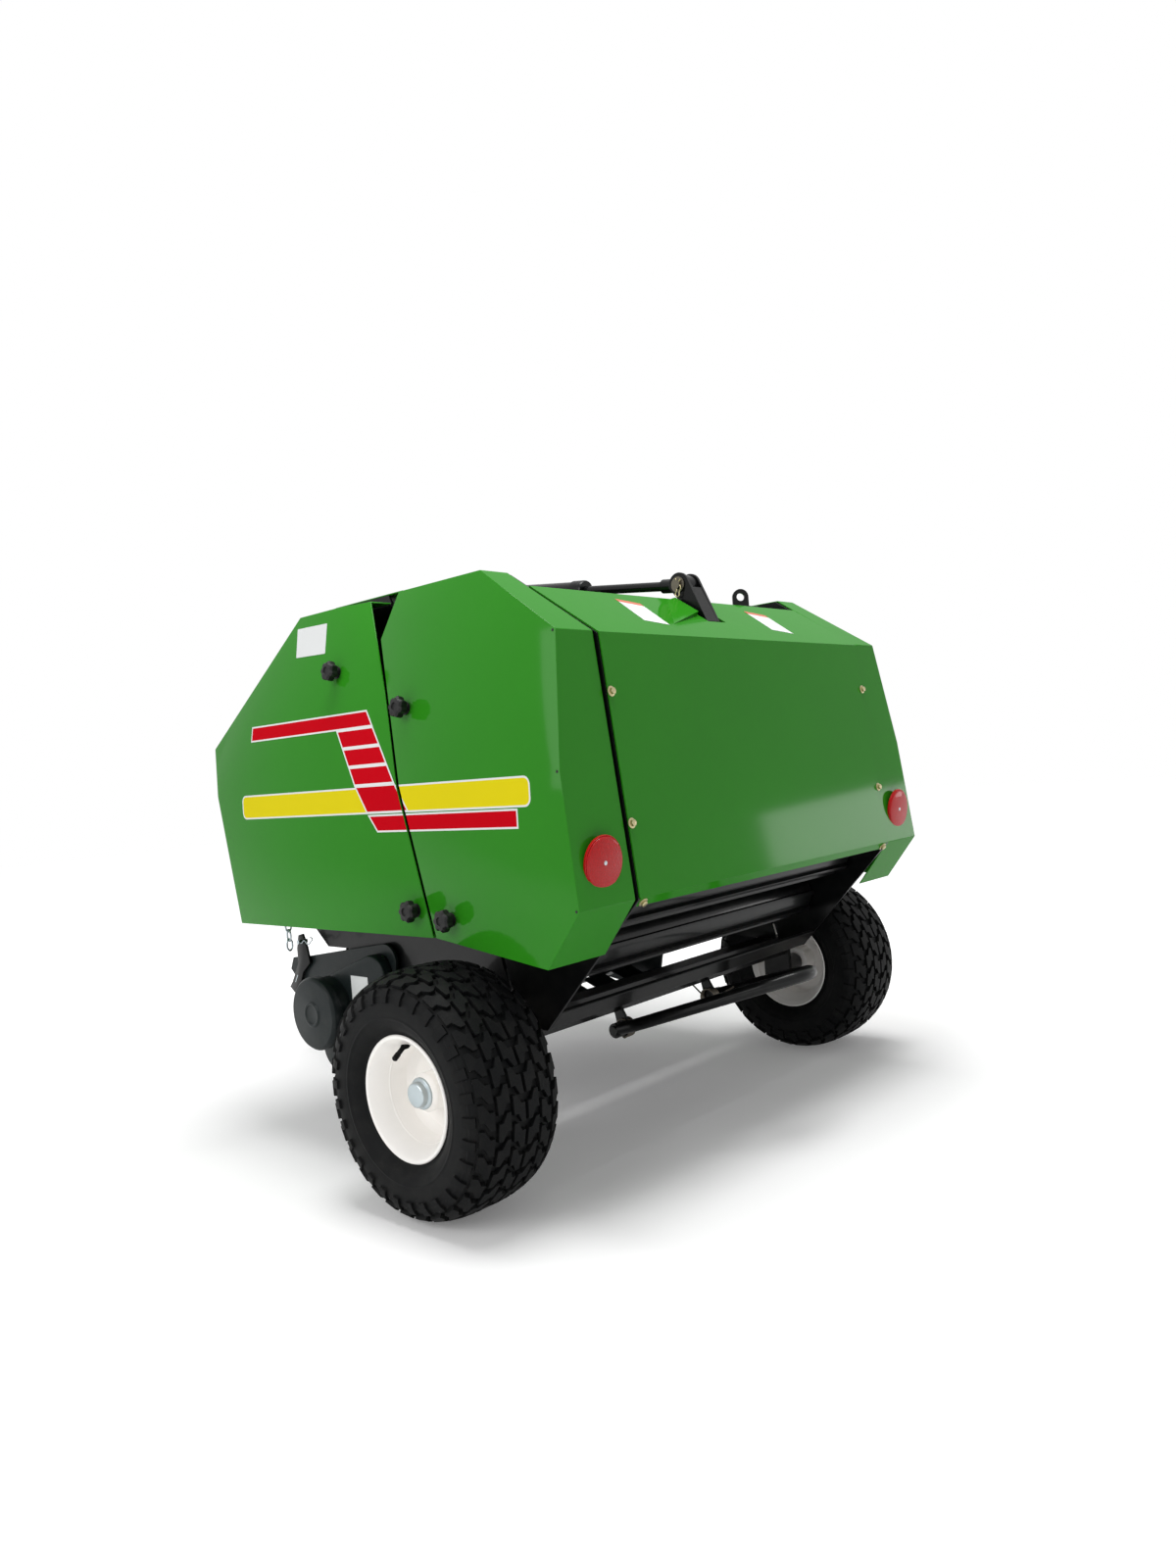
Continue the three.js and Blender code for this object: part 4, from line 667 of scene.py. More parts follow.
# %% Bale ramp
RAMP_TUBE_MM = 13.5
ramp_low, ramp_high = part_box("bale_ramp")
ramp_pivot = JOINT_AT["bale_ramp_hinge"]
ramp_apex = Vector((0, ramp_low.y + RAMP_TUBE_MM * MM, ramp_high.z - RAMP_TUBE_MM * MM))
eye_outer = ramp_high.x
EYE_HALF, CAP_GAP = 0.012, 0.0006
ARM = [(0.95, 0.02, 0.03), (0.95, 0.165, 0.17), (0.88, 0.30, 0.31), (0.51, 0.735, 0.75), (0.24, 0.945, 0.955)]
reach = ramp_apex - ramp_pivot
half_arm = [Vector((across * eye_outer, ramp_pivot.y + reach.y * back, ramp_pivot.z + reach.z * up))
            for across, back, up in ARM]
ramp_path = half_arm + [ramp_apex] + [Vector((-p.x, p.y, p.z)) for p in reversed(half_arm)]
ramp = tube(ramp_path, RAMP_TUBE_MM)
for outward in SIDES.values():
    eye = soften(turned([(8.2, -12), (16, -12), (16, 12), (8.2, 12)], 32, closed=True), 1.0)
    add_to(ramp, moved(eye, (outward * (eye_outer - EYE_HALF), ramp_pivot.y, ramp_pivot.z)))
piece("bale_ramp_tube", ramp, black, "bale_ramp", ["bale_ramp"])
for side, outward in SIDES.items():
    cap = turned([(0, 0), (11, 0), (11, 2.5), (9.5, 4), (0, 4)], 28, outward=outward,
                 centre=(outward * (eye_outer + CAP_GAP), ramp_pivot.y, ramp_pivot.z))
    piece(f"ramp_pin_cap_{side}", cap, black, "chassis")
print("ramp reaches back to", round(ramp_low.y, 3))

# %% [markdown]
# ## Finding the skin of a panel
# Knobs, bolts and stickers sit on sloping sheet. A ray shot at the solid's own mesh tells where the
# skin is and which way it faces, so nothing floats and nothing sinks.

# %% Rays onto a panel
def skin_of(node):
    bm = joined_copy(node)
    skin = BVHTree.FromBMesh(bm)
    bm.free()
    return skin


FAR = 2.9    # every ray starts this far out, well clear of the machine
SKINS = {node: skin_of(node) for node in
         ("front_cover_left", "front_cover_right", "rear_cover_left", "rear_cover_right", "tailgate_panel",
          "twine_lid", "hood")}


def touch(node, point, direction):
    """Where a ray through a point lands on a panel, and the panel's outward normal there."""
    direction = Vector(direction)
    place, normal, _, _ = SKINS[node].ray_cast(point - direction * FAR, direction)
    return place, normal if normal.dot(direction) < 0 else -normal


def on_cover(cover, side, point):
    return touch(f"{cover}_{side}", point, (-SIDES[side], 0, 0))


def from_above(node, x, y):
    return touch(node, spot(x, y, 0), (0, 0, -1))


print("skins", len(SKINS))

# %% [markdown]
# ## Star knobs
# Each side cover is held by black star knobs that a gloved hand can turn. The head is a turned disc
# with a chamfered face, whose rim is pulled in and out seven times, on a round neck.

# %% Star knobs
KNOB_RADIUS, NECK_RADIUS, NECK_LENGTH, LOBES, LOBE_DEPTH = 19.5, 10.0, 12.0, 7, 0.10
KNOB_FACE = NECK_LENGTH + 17.0
KNOBS = {"front_cover": [(327, 1035), (65, 551)], "rear_cover": [(87, 938), (-36, 537)]}


def knob():
    bm = turned([(0, NECK_LENGTH), (KNOB_RADIUS - 1, NECK_LENGTH), (KNOB_RADIUS, NECK_LENGTH + 3),
                 (KNOB_RADIUS, KNOB_FACE - 4), (KNOB_RADIUS - 3.5, KNOB_FACE), (8, KNOB_FACE + 1),
                 (7, KNOB_FACE - 1.5), (0, KNOB_FACE - 1.5)], 84)
    for vert in bm.verts:
        if math.hypot(vert.co.y, vert.co.z) > 12 * MM:
            lobe = 1 + LOBE_DEPTH * math.cos(LOBES * math.atan2(vert.co.z, vert.co.y))
            vert.co.y *= lobe
            vert.co.z *= lobe
    return add_to(bm, turned([(0, -1), (NECK_RADIUS + 3, -1), (NECK_RADIUS + 3, 2), (NECK_RADIUS, 3),
                              (NECK_RADIUS, NECK_LENGTH + 1), (0, NECK_LENGTH + 1)], 40))


for side in SIDES:
    for cover, places in KNOBS.items():
        for number, (y, z) in enumerate(places, start=1):
            place, normal = on_cover(cover, side, spot(0, y, z))
            piece(f"knob_{cover}_{side}_{number}", standing(knob(), place, normal), knob_plastic,
                  BODY_OF[f"{cover}_{side}"])
print("last knob at", tuple(round(v, 3) for v in place))

# %% [markdown]
# ## Flange bolts
# Zinc-plated hexagon bolts with a built-on washer hold the rear panel to the side plates. A six-sided
# cone is the head, and a turned disc is its flange.

# %% Bolts
BOLTS_ON_PANEL = [(455, 928), (455, 694), (446, 554)]
BOLTS_ON_HOOD = [(-300, 238), (-300, 446), (0, 446), (300, 238), (300, 446)]


def flange_bolt(size=1.0):
    bm = turned([(0, 0), (9.5 * size, 0), (9.5 * size, 1.6 * size), (7.5 * size, 2.6 * size),
                 (0, 2.6 * size)], 28)
    head = bmesh.new()
    bmesh.ops.create_cone(head, cap_ends=True, segments=6, radius1=6.6 * size * MM, radius2=6.4 * size * MM,
                          depth=5.0 * size * MM)
    bmesh.ops.rotate(head, verts=head.verts, cent=(0, 0, 0), matrix=Matrix.Rotation(math.pi / 2, 3, "Y"))
    return add_to(bm, soften(moved(head, (4.9 * size * MM, 0, 0)), 0.7 * size))


panel_bolts = bmesh.new()
for x, z in BOLTS_ON_PANEL:
    for outward in SIDES.values():
        landing = touch("tailgate_panel", spot(outward * x, 0, z), (0, 1, 0))
        add_to(panel_bolts, standing(flange_bolt(), *landing))
piece("panel_bolts", panel_bolts, yellow_zinc, "tailgate", recalculate=False)

hood_bolts = bmesh.new()
for x, y in BOLTS_ON_HOOD:
    add_to(hood_bolts, standing(flange_bolt(0.8), *from_above("hood", x, y)))
piece("hood_bolts", hood_bolts, yellow_zinc, "chassis", recalculate=False)

# %% [markdown]
# ## Corner relief holes
# Where three folds of a cover meet, the sheet is drilled first so that it can't tear. The holes show
# as small dark spots on the rear edge of each cover; a shallow black disc stands for each, painted
# shade for the dark inside the hole.

# %% Relief holes
RELIEFS = [(-305, 1036), (-330, 795), (-355, 562)]
# Painted shade: each hole is a black disc standing for the dark seen inside it.
HOLE_SHADE_DISC = [(0, -1), (2.6, -1), (2.6, 0.35), (0, 0.35)]
for side in SIDES:
    hole_shade_discs = bmesh.new()
    for y, z in RELIEFS:
        add_to(hole_shade_discs, standing(turned(HOLE_SHADE_DISC, 16), *on_cover("rear_cover", side, spot(0, y, z))))
    piece(f"relief_holes_{side}", hole_shade_discs, knob_plastic, "tailgate", recalculate=False)

# %% [markdown]
# ## Round reflectors
# A red plastic backing with a red lens pressed into it, and one screw through the middle. Each is
# turned round its own axis and stood where the solid reflector is.

# %% Reflectors
LENS = [(0, 8.7), (41, 8.7), (44.5, 7.5), (45.5, 6.0), (45.5, 3.5), (0, 3.5)]
BACKING = [(0, 0.4), (46.5, 0.4), (48, 1.2), (48, 4.8), (47, 6.0), (45.6, 5.2), (45.6, 2.4), (0, 2.4)]
SCREW = [(0, 10.0), (2.2, 10.0), (3.8, 9.2), (4.2, 7.8), (0, 7.8)]
REFLECTOR_THICK = 0.009
for side in SIDES:
    node = f"reflector_{side}"
    low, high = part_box(node)
    lean = math.asin((high.y - low.y - REFLECTOR_THICK) / (high.z - low.z))
    facing = Vector((0, -math.cos(lean), -math.sin(lean)))
    seat = middle(node) - facing * (REFLECTOR_THICK / 2)
    for name, profile, steps, material, slot, stands_for in (
            ("lens", LENS, 72, red_plastic, "red_lens", [node]),
            ("backing", BACKING, 72, red_plastic, "red_lens", ()),
            ("screw", SCREW, 24, zinc, "bright_steel", ())):
        piece(f"{node}_{name}", standing(turned(profile, steps), seat, facing), material, "tailgate",
              stands_for)
    print(node, "leans", round(math.degrees(lean), 1), "degrees")

# %% [markdown]
# ## Stickers on the side covers
# Coloured bands run along both sides: a yellow one, a red one above and one below, and a slanting
# stack of red blocks that joins them. A sticker is one face in the side view. Insetting that face
# leaves a white border; cutting it along the crease and along the joint between the covers lets each
# part lie flat on its own panel and swing with it. Each point is then pressed onto the skin by a ray.

# %% A sticker pressed onto the side covers
BORDER = 3.5
CREASE_Z = 795.0
SEAM_Y, SEAM_Z, SEAM_SLOPE, SEAM_GAP = 153.5, 975.0, 0.2916, 9.6
STICKER_LIFT, LAYER, VINYL_MM = 0.25, 0.3, 0.2


def cut(bm, point, normal, clear=False):
    """Cuts along a plane and, if asked to, clears away what lies in front of it."""
    bmesh.ops.bisect_plane(bm, geom=bm.verts[:] + bm.edges[:] + bm.faces[:], dist=1e-7, plane_co=point,
                           plane_no=normal, clear_outer=clear)


def sticker(outline, border=BORDER, corner_mm=0.0):
    """A flat face in the side view, with a white border of faces round it."""
    bm = bmesh.new()
    bm.faces.new([bm.verts.new(spot(0, y, z)) for y, z in outline])
    if corner_mm:
        bmesh.ops.bevel(bm, geom=list(bm.verts), offset=corner_mm * MM, offset_type="OFFSET", segments=5,
                        profile=0.5, affect="VERTICES", clamp_overlap=True, material=-1)
    bm.normal_update()
    inside = max(bm.faces, key=lambda face: face.calc_area())
    for face in bmesh.ops.inset_region(bm, faces=[inside], thickness=border * MM, use_even_offset=True,
                                       use_boundary=True)["faces"]:
        face.material_index = 1
    return bm


def press_on(bm, cover, side, lift_mm):
    """Keeps the part of a flat sticker that lies on one cover, and gives it that cover's shape."""
    outward = SIDES[side]
    away = 1 if cover == "front_cover" else -1
    cut(bm, spot(0, SEAM_Y + away * SEAM_GAP / 2, SEAM_Z), -away * Vector((0, 1, -SEAM_SLOPE)), clear=True)
    cut(bm, spot(0, 0, CREASE_Z), (0, 0, 1))
    for vert in bm.verts:
        place, normal = on_cover(cover, side, vert.co)
        vert.co = place + normal * lift_mm * MM
    bmesh.ops.recalc_face_normals(bm, faces=bm.faces)
    for face in bm.faces:
        if face.normal.x * outward < 0:
            face.normal_flip()
    return grown(bm, bm.faces[:], (outward * VINYL_MM * MM, 0, 0))


def stick(name, vinyl, outline, cover, side, lift_mm=STICKER_LIFT, **shape):
    """Presses a sticker onto a cover, if any of it lies there."""
    part = press_on(sticker(outline, **shape), cover, side, lift_mm)
    if part.faces:
        piece(f"{name}_{cover}_{side}", part, [vinyl, white_vinyl], BODY_OF[f"{cover}_{side}"],
              recalculate=False)


# %% The bands
AXLE_HEIGHT = TYRE_RADIUS / MM
STACK_CUTS = (684.0, 645.0, 606.0, 567.0, 511.0)    # heights above the axle, as all the bands' heights are


def stack_front(z):
    return 316.0 - 0.655 * (STACK_CUTS[0] - z)


def stack_rear(z):
    return 190.0 - 0.70 * (STACK_CUTS[0] - z)


BANDS = [
    ("yellow_band", yellow_vinyl, [(674, 510), (674, 564), (-264, 564), (-264, 510)], 15.0, 0),
    ("lower_band", red_vinyl, [(172, 473), (stack_front(508), 508), (-230, 508), (-230, 473)], 0, 0),
    ("upper_band", red_vinyl, [(651, 684), (651, 719), (214, 719), (190, 684)], 0, 0),
] + [
    (f"stack_block_{number}", red_vinyl, [(stack_front(low), low), (stack_front(high), high),
                                          (stack_rear(high), high), (stack_rear(low), low)], 0, 1)
    for number, (high, low) in enumerate(zip(STACK_CUTS, STACK_CUTS[1:]), start=1)
]
for side in SIDES:
    for cover in ("front_cover", "rear_cover"):
        for name, vinyl, outline, corner_mm, layer in BANDS:
            stick(name, vinyl, [(y, z + AXLE_HEIGHT) for y, z in outline], cover, side,
                  lift_mm=STICKER_LIFT + layer * LAYER, corner_mm=corner_mm)
print("bands", len(BANDS), "on each side")

# %% [markdown]
# ## Blank labels
# White labels sit on the front cover, on the tailgate's slope and on the pickup's side. They carry
# no words here. Those on the slope have an orange strip along their upper edge.

# %% Labels
COVER_LABEL = [(376, 1082), (487, 1086), (489, 1150), (376, 1147)]
for side in SIDES:
    stick("label", white_vinyl, COVER_LABEL, "front_cover", side, border=1.2, corner_mm=2.0)

SLOPE_LABELS = {"left": (-226, -230, 64, 86), "right": (221, -235, 68, 84)}    # x, y, width and length
SLOPE_LABEL_TURN = math.radians(-11)
STRIP_MM = 12


def slope_label(x, y, width, length):
    """A label lying on the tailgate's slope, with an orange strip along its upper edge."""
    bm = bmesh.new()
    bmesh.ops.create_grid(bm, x_segments=1, y_segments=2, size=0.5)
    strip = length / 2 - STRIP_MM
    for vert in bm.verts:
        vert.co = (vert.co.x * width, vert.co.y * length if abs(vert.co.y) > 0.1 else strip, 0)
    for face in bm.faces:
        face.material_index = int(face.calc_center_median().y > strip)
    bmesh.ops.rotate(bm, verts=bm.verts, cent=(0, 0, 0), matrix=Matrix.Rotation(SLOPE_LABEL_TURN, 3, "Z"))
    for vert in bm.verts:
        place, normal = from_above("tailgate_panel", x + vert.co.x, y + vert.co.y)
        vert.co = place + normal * STICKER_LIFT * MM
    bmesh.ops.recalc_face_normals(bm, faces=bm.faces)
    return grown(bm, bm.faces[:], (0, 0, LAYER * MM))


for side, measures in SLOPE_LABELS.items():
    piece(f"label_slope_{side}", slope_label(*measures), [white_vinyl, orange_vinyl], "tailgate")
print("labels", len(SIDES) + len(SLOPE_LABELS))

# %% [markdown]
# ## The tailgate cylinder
# A hydraulic cylinder under the hood lifts the tailgate. Barrel and rod are turned round one line,
# from the front pin to the rear pin; the rod is black here and slides through a thicker gland.

# %% Cylinder
cylinder_front = JOINT_AT["cylinder_pivot"]
stroke_axis = next(joint["axis"] for joint in frame["joints"] if joint["name"] == "cylinder_stroke")
back = -Vector(stroke_axis).normalized()
CYLINDER_MM = 588.5
BARREL = [(11, 30), (21, 31.5), (22, 34), (22, 262), (24.5, 264), (24.5, 296), (23, 300), (11.2, 300)]
ROD = [(0, 280), (10.5, 280), (10.5, CYLINDER_MM - 60), (15.5, CYLINDER_MM - 58), (15.5, CYLINDER_MM - 20),
       (0, CYLINDER_MM - 20)]
EYE = [(10.7, -16), (21, -16), (22, -15), (22, 15), (21, 16), (10.7, 16)]


def eye_at(distance_mm):
    return turned(EYE, 48, closed=True, centre=cylinder_front + back * distance_mm * MM)


barrel = standing(turned(BARREL, 48, closed=True), cylinder_front, back)
add_to(barrel, standing(turned([(0, 14), (14, 14), (14, 32), (0, 32)], 32), cylinder_front, back))
piece("cylinder_barrel_turned", add_to(barrel, eye_at(0)), black, "cylinder_barrel",
      ["cylinder_barrel"], recalculate=False)
rod = standing(turned(ROD, 40), cylinder_front, back)
piece("cylinder_rod_turned", add_to(rod, eye_at(CYLINDER_MM)), black, "cylinder_rod",
      ["cylinder_rod"], recalculate=False)

# %% [markdown]
# ## The rear pin and its clip
# The rod's eye turns on a zinc pin through the bracket. A washer and a sprung wire clip keep it in.

# %% Pin, washer and clip
rod_pin = cylinder_front + back * CYLINDER_MM * MM
ear_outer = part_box("rod_bracket")[1].x / MM
PIN = [(0, 0), (10, 0), (10, 2 * ear_outer + 14), (9, 2 * ear_outer + 16), (0, 2 * ear_outer + 16)]
WASHER, WASHER_GAP = [(10.2, 0), (17, 0), (17, 2.5), (10.2, 2.5)], 0.6
pin = turned(PIN, 36, centre=rod_pin - Vector((ear_outer + 10, 0, 0)) * MM)
for end in (-1, 1):
    add_to(pin, turned(WASHER, 36, closed=True, outward=end,
                       centre=rod_pin + Vector((end * (ear_outer + WASHER_GAP), 0, 0)) * MM))
piece("rod_pin", pin, dull_steel, "tailgate", recalculate=False)
clip_x = -(ear_outer + 7)
CLIP = [(0, 13), (0, -13), (4, -22), (-3, -27), (-7, -16), (-11, -8), (-7, 2), (-11, 10)]
clip = tube([rod_pin + Vector((clip_x, y, z)) * MM for y, z in CLIP], 1.3, ring=3, steps=6)
piece("pin_clip", clip, yellow_zinc, "tailgate")
print("rod pin at", tuple(round(v, 3) for v in rod_pin))

# %% [markdown]
# ## The lifting eye and the pressed facet
# A bent flat bar with a hole stands on the tailgate's top for lifting. Beside the bracket the slope
# has a shallow triangular facet pressed into it, made here as a low wedge.

# %% Lifting eye
FOOT_SIZE, FOOT_GAP = Vector((0.07, 0.05, 0.005)), 0.0001
eased("lifting_eye", 1.5)
foot_at = middle("lifting_eye")
foot_at.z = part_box("lifting_eye")[0].z + FOOT_SIZE.z / 2 + FOOT_GAP
piece("lifting_eye_foot", soften(cuboid(FOOT_SIZE, foot_at), 1.2), black, "tailgate")
print("foot at", tuple(round(v, 3) for v in foot_at))

# %% Pressed facet
FACET = [(-60, -166, 0), (-180, -272, 0), (-36, -224, 8), (-36, -166, 8)]    # x, y and height over the slope
FACET_SINK = 0.4
facet = bmesh.new()
lower, upper = [], []
for x, y, height in FACET:
    place, normal = from_above("tailgate_panel", x, y)
    lower.append(place - normal * FACET_SINK * MM)
    upper.append(place + normal * (height + FACET_SINK) * MM)
lower = [facet.verts.new(place) for place in lower]
upper = [facet.verts.new(place) for place in upper]
facet.faces.new((upper[0], upper[1], upper[2]))
facet.faces.new((upper[0], upper[2], upper[3]))
facet.faces.new(lower)
rims = [facet.edges.get(pair) or facet.edges.new(pair)
        for row in (lower, upper) for pair in zip(row, row[1:] + row[:1])]
bmesh.ops.bridge_loops(facet, edges=rims)
piece("pressed_facet", facet, green, "tailgate")

# %% [markdown]
# ## The pickup's drive cover
# A round canister over the pickup's chain drive: a flat disc with a chamfered rim, a shallow raised
# ring in its middle, and a drum behind it with a rolled seam. Behind it a teardrop housing runs back
# and down to the machine.

# %% Drive cover
DRUM_DROP = 0.008
drive_low, drive_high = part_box("pickup_drive_cover")
drive_at = middle("pickup_drive_cover") - Vector((0, 0, DRUM_DROP))
inner = Vector((drive_high.x, drive_at.y, drive_at.z))
drum_depth = (drive_high.x - drive_low.x) / MM - 10
drum_radius = (drive_high.z - drive_low.z) / 2 / MM
DRUM = [
    (0, 0), (drum_radius - 6, 0), (drum_radius - 6, drum_depth - 26), (drum_radius, drum_depth - 24),
    (drum_radius, drum_depth - 7), (drum_radius - 6, drum_depth), (30, drum_depth), (27, drum_depth + 3),
    (22, drum_depth + 3), (20, drum_depth + 0.5), (0, drum_depth + 0.5),
]
drum = soften(turned(DRUM, 72, outward=-1, centre=inner), 1.2)
piece("pickup_drive_drum", drum, anthracite, "pickup", ["pickup_drive_cover"])

# %% [markdown]
# The housing is an outline extruded sideways: two circles of different size, hulled together. The
# hull operator wraps a skin round any set of points, which is just what a pressed cover looks like.

# %% Teardrop housing
HOUSING_DEPTH = 26.0
lobes = [(drive_at, drum_radius * 0.9), (JOINT_AT["pickup_lift"] + Vector((0, 0.02, -0.03)), 46.0),
         (drive_at + Vector((0, -0.007, -0.084)), 58.0)]
housing = bmesh.new()
for centre, radius in lobes:
    place = Matrix.Translation((inner.x, centre.y, centre.z)) @ Matrix.Rotation(math.pi / 2, 4, "Y")
    bmesh.ops.create_circle(housing, segments=40, radius=radius * MM, matrix=place)
bmesh.ops.convex_hull(housing, input=housing.verts[:])
bmesh.ops.delete(housing, geom=[vert for vert in housing.verts if not vert.link_faces], context="VERTS")
bmesh.ops.dissolve_limit(housing, angle_limit=math.radians(1), verts=housing.verts, edges=housing.edges)
grown(housing, [max(housing.faces, key=lambda face: face.calc_area())], (-HOUSING_DEPTH * MM, 0, 0))
piece("pickup_chain_housing", soften(housing, 5.0, segments=3), anthracite, "pickup")

# %% The pickup's blank label
LABEL_SIZE, LABEL_PLACE = (0.0006, 0.062, 0.060), Vector((-HOUSING_DEPTH * MM - 0.0004, -0.114, 0.054))
piece("label_pickup", cuboid(LABEL_SIZE, inner + LABEL_PLACE), white_vinyl, "pickup")

# %% [markdown]
# ## Black sheets above the pickup
# A black sheet on the lower edge of each side wall closes the gap above the pickup. It is painted
# shade: it stands for the dark seen in that gap. It is an outline in the side view, extruded by the sheet's
# thickness.

# %% Shade sheets above the pickup
SHADE_SHEET_OUTLINE = [(404, 430), (404, 512), (696, 512), (690, 500), (604, 424), (440, 424)]
WALL_OUTER, SHADE_SHEET_THICK = 458.4, 3.0
# Painted shade: a black sheet standing for the dark in the gap above the pickup.
for side, outward in SIDES.items():
    shade_sheet = plate([spot(outward * WALL_OUTER, y, z) for y, z in SHADE_SHEET_OUTLINE], (-outward * SHADE_SHEET_THICK * MM, 0, 0))
    piece(f"side_shade_sheet_{side}", shade_sheet, black, "chassis")

# %% [markdown]
# ## Lift bracket, chain and clip
# A slotted bracket at the front of the pickup takes the chain that holds it up for the road. The
# chain's spare links hang free. A link is a tube along a stretched ring, every second one turned a
# quarter.

# %% Slotted bracket
BRACKET = [(-28, 92), (-10, 88), (0, 56), (0, 20), (32, -27), (44, -39), (22, -54), (0, -34), (-18, 0),
           (-50, 24), (-42, 60)]
BRACKET_THICK = 6.0
bracket_at = Vector((-0.4835, drive_at.y + 0.153, drive_at.z + 0.072))
bracket = moved(plate([(0, y * MM, z * MM) for y, z in BRACKET], (-BRACKET_THICK * MM, 0, 0)), bracket_at)
piece("lift_bracket", soften(bracket, 1.2), black, "pickup")
SLOT = ((6, -8), (12, -17), (18, -26))
slot_ends = [bracket_at + Vector((-BRACKET_THICK + 2.9, y, z)) * MM for y, z in SLOT]
piece("lift_bracket_slot", tube(slot_ends, 3.2, ring=4), zinc, "pickup")

# %% Pin and spring clip on the bracket
clip_at = bracket_at + Vector((0.006, -0.026, 0.074))
clip_pin = turned([(0, 0), (5, 0), (5, 24), (0, 24)], 24, outward=-1, centre=clip_at)
CLIP_WIRE = [(-19, 8, -4), (-19, -8, -2), (-19, -20, 4), (-19, -34, -4), (-19, -48, 4), (-19, -54, 10),
             (-19, -46, 13)]
add_to(clip_pin, tube([clip_at + Vector(bend) * MM for bend in CLIP_WIRE], 1.3, ring=3, steps=6))
piece("lift_clip", clip_pin, zinc, "pickup", recalculate=False)

# %% Hanging chain
LINK_HALF, LINK_WIDE, WIRE = 13.0, 7.0, 2.2
PEG_PLACE = spot(-464.5, 612, 515.5)
PEG_LENGTH, PEG_RADIUS, CHAIN_LINKS = 96.0, 4.5, 4
peg = turned([(0, 0), (PEG_RADIUS, 0), (PEG_RADIUS, PEG_LENGTH), (8, PEG_LENGTH), (8, PEG_LENGTH + 3),
              (0, PEG_LENGTH + 3)], 24, outward=-1, centre=PEG_PLACE)
piece("chain_peg", peg, black, "chassis")
CHAIN_TOP = PEG_PLACE + Vector((-PEG_LENGTH + 5, 0, PEG_RADIUS + WIRE - LINK_HALF + 0.2)) * MM


def link(number):
    ring = [(math.cos(turn) * LINK_WIDE, math.sin(turn) * LINK_HALF) for turn in
            (2 * math.pi * step / 8 for step in range(8))]
    down = Vector((0, 0, -number * (2 * LINK_HALF - 2 * WIRE))) * MM
    spread = Vector((0, 1, 0)) if number % 2 == 0 else Vector((1, 0, 0))
    return tube([CHAIN_TOP + down + (spread * a + Vector((0, 0, b))) * MM for a, b in ring], WIRE,
                closed=True, ring=3)


chain = link(0)
for number in range(1, CHAIN_LINKS):
    add_to(chain, link(number))
piece("spare_chain", chain, zinc, "chassis", recalculate=False)

# %% [markdown]
# ## The ramp's springs
# A torsion spring round each of the ramp's pins pushes the ramp up again after the bale has rolled
# off. Its coil is a helix of wire with two straight legs.

# %% Torsion springs
COIL_RADIUS, COIL_WIRE, COIL_TURNS, COIL_PITCH, COIL_INSET = 19.5, 2.0, 5, 4.6, 0.027


def torsion_spring(outward):
    path = [Vector((0, -62, 26))]
    for step in range(COIL_TURNS * 12 + 1):
        turn = math.pi + 2 * math.pi * step / 12
        path.append(Vector((-step / 12 * COIL_PITCH, COIL_RADIUS * math.sin(turn),
                            COIL_RADIUS * math.cos(turn))))
    path.append(Vector((-COIL_TURNS * COIL_PITCH, 44, 30)))
    start = Vector((outward * (eye_outer - COIL_INSET), ramp_pivot.y, ramp_pivot.z))
    return tube([start + Vector((outward * point.x, point.y, point.z)) * MM for point in path], COIL_WIRE,
                ring=2, steps=2)


for side, outward in SIDES.items():
    piece(f"ramp_spring_{side}", torsion_spring(outward), dull_steel, "chassis")

# %% [markdown]
# ## Lid handle and hitch pin
# The front of the machine gets the small things a hand would look for: a pull handle on the twine
# lid and a pin through the hitch.

# %% Lid handle and hitch pin
HANDLE = [(-60, 0), (-58, 26), (-50, 34), (50, 34), (58, 26), (60, 0)]    # x and height over the lid
HANDLE_Y, HANDLE_SINK = 742, 1
foot, normal = from_above("twine_lid", 0, HANDLE_Y)
handle = tube([foot + Vector((x, 0, 0)) * MM + normal * (up - HANDLE_SINK) * MM for x, up in HANDLE], 5.0)
piece("lid_handle", handle, black, "twine_lid")
HITCH_PIN = [(0, 0), (11.5, 0), (12, 2), (12, 104), (18, 104), (18, 112), (0, 112)]
hitch_low, hitch_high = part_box("hitch_clevis")
pin_foot = Vector((0, hitch_high.y - 0.035, hitch_low.z + 0.004))
piece("hitch_pin", standing(turned(HITCH_PIN, 32), pin_foot, (0, 0, 1)), zinc, "chassis")
print("hitch pin at", tuple(round(v, 3) for v in pin_foot))

# %% [markdown]
# ## Floor, light and background
# The machine stands on a plain white floor in a white studio. The floor keeps the soft shadow. For
# rays that the camera, a mirror or glass sends, a little light is added to it so that it meets the
# white background without an edge. Lamps and world stay at a plain level.

# %% Stage
FLOOR_HALF = 14.0
floor_bm = bmesh.new()
bmesh.ops.create_grid(floor_bm, x_segments=1, y_segments=1, size=FLOOR_HALF)
floor_mesh = bpy.data.meshes.new("floor")
floor_bm.to_mesh(floor_mesh)
floor_bm.free()
floor = bpy.data.objects.new("floor", floor_mesh)
bpy.context.scene.collection.objects.link(floor)


def seen_directly(tree):
    """1 for rays from the camera, a mirror or glass, and 0 for those that carry light."""
    path = add_node(tree, "ShaderNodeLightPath")
    some = calculate(tree, "MAXIMUM", path.outputs["Is Camera Ray"], path.outputs["Is Glossy Ray"])
    return calculate(tree, "MAXIMUM", some, path.outputs["Is Transmission Ray"])


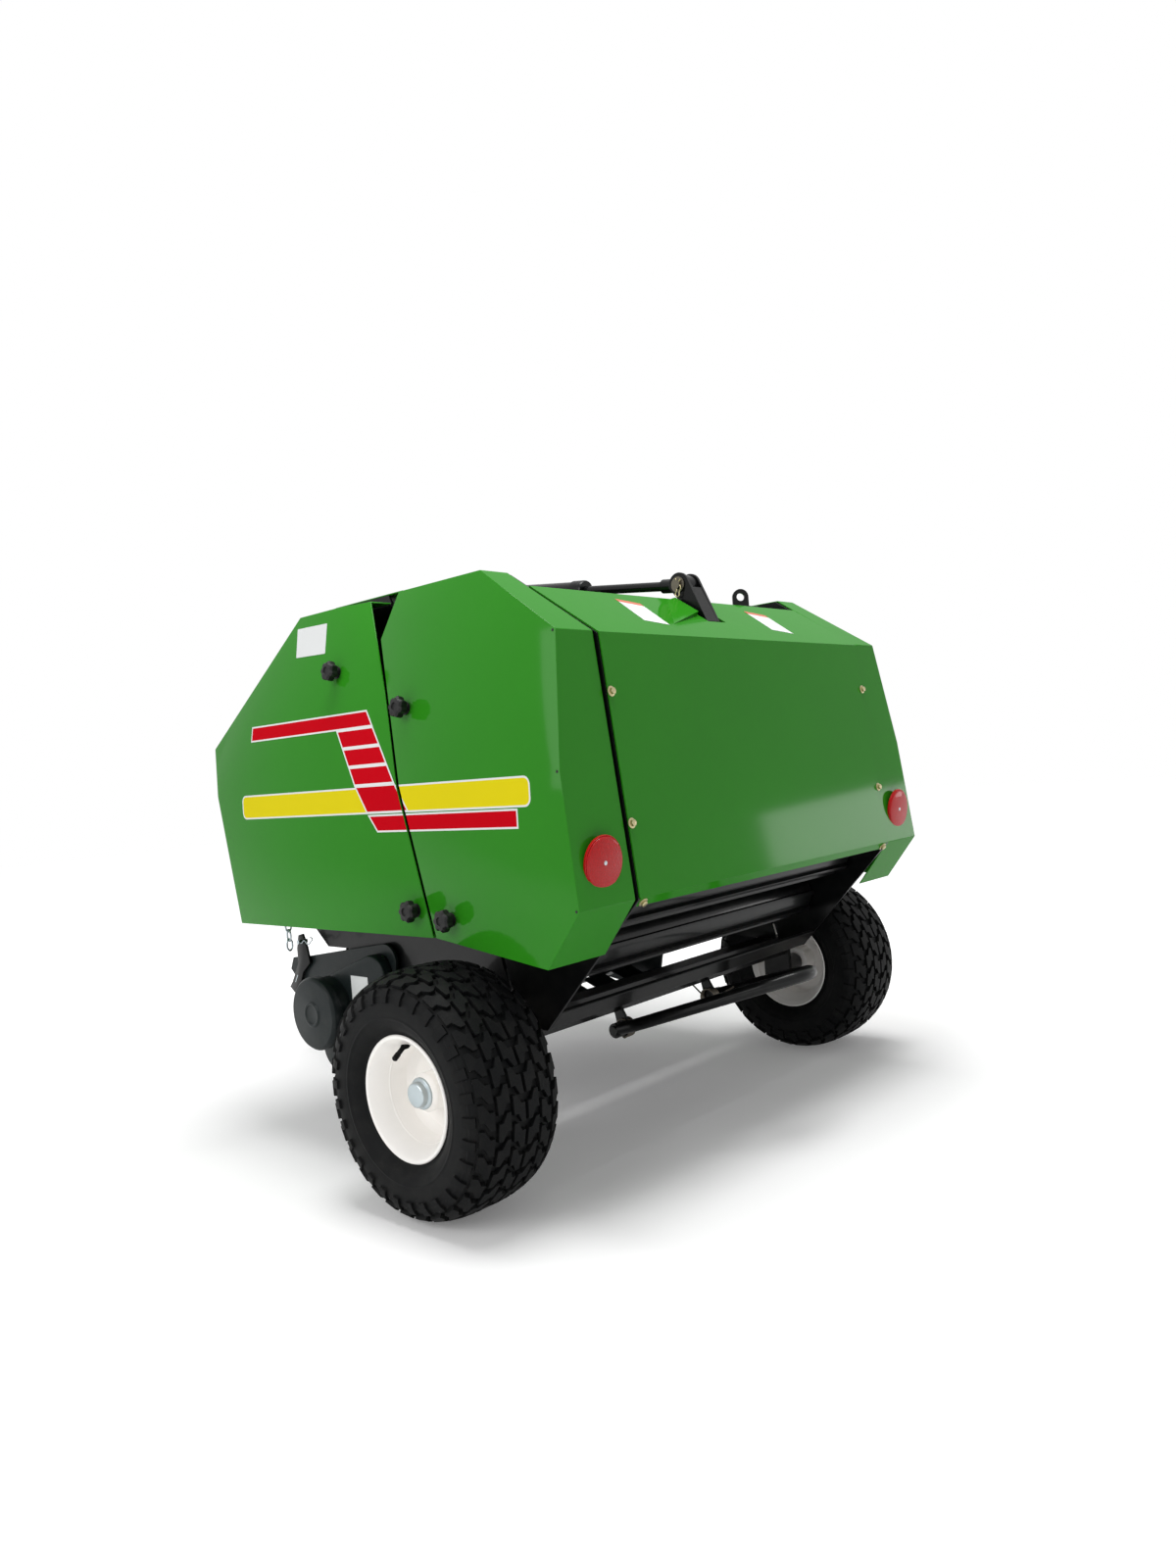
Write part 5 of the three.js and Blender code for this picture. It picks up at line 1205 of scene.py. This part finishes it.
NEAR_GLOW, FAR_GLOW, GLOW_STARTS, GLOW_ENDS = 0.13, 0.62, 0.9, 2.6
floor_material = bpy.data.materials.new("white floor")
floor_material.use_nodes = True
tree = floor_material.node_tree
tree.nodes.clear()
diffuse = add_node(tree, "ShaderNodeBsdfDiffuse", inputs={"Color": (0.94, 0.94, 0.94, 1)})
from_middle = add_node(tree, "ShaderNodeVectorMath", operation="LENGTH",
                       inputs={0: add_node(tree, "ShaderNodeTexCoord").outputs["Object"]}).outputs["Value"]
lift = add_node(tree, "ShaderNodeMapRange", interpolation_type="SMOOTHSTEP",
                inputs={"Value": from_middle, "From Min": GLOW_STARTS, "From Max": GLOW_ENDS,
                        "To Min": NEAR_GLOW, "To Max": FAR_GLOW}).outputs["Result"]
brightness = calculate(tree, "MULTIPLY", seen_directly(tree), lift)
glow = add_node(tree, "ShaderNodeEmission", inputs={"Color": (1, 1, 1, 1), "Strength": brightness})
both = add_node(tree, "ShaderNodeAddShader", inputs={0: diffuse.outputs[0], 1: glow.outputs[0]})
add_node(tree, "ShaderNodeOutputMaterial", inputs={"Surface": both.outputs[0]})
floor_mesh.materials.append(floor_material)

WORLD_LIGHT = 0.40
world = bpy.data.worlds.new("studio")
bpy.context.scene.world = world
world.use_nodes = True
tree = world.node_tree
strength = add_node(tree, "ShaderNodeMapRange",
                    inputs={"Value": seen_directly(tree), "To Min": WORLD_LIGHT, "To Max": 1.0})
tree.links.new(strength.outputs["Result"], tree.nodes["Background"].inputs["Strength"])
tree.nodes["Background"].inputs["Color"].default_value = (1, 1, 1, 1)


def softbox(name, place, target, width, height, watts):
    data = bpy.data.lights.new(name, "AREA")
    data.shape, data.size, data.size_y, data.energy = "RECTANGLE", width, height, watts
    lamp = bpy.data.objects.new(name, data)
    bpy.context.scene.collection.objects.link(lamp)
    aim = (Vector(target) - Vector(place)).to_track_quat("-Z", "Y")
    lamp.matrix_world = Matrix.Translation(place) @ aim.to_matrix().to_4x4()


softbox("left softbox", (-4.2, -0.2, 2.5), (0, -0.1, 0.7), 2.6, 2.4, 64)
softbox("overhead softbox", (-0.1, -0.5, 4.0), (0, 0, 0.5), 2.2, 2.2, 135)
softbox("low right strip", (3.9, -2.75, 0.72), (0.3, -0.77, 0.65), 1.1, 0.36, 6)
bpy.context.scene.view_settings.view_transform = "Standard"
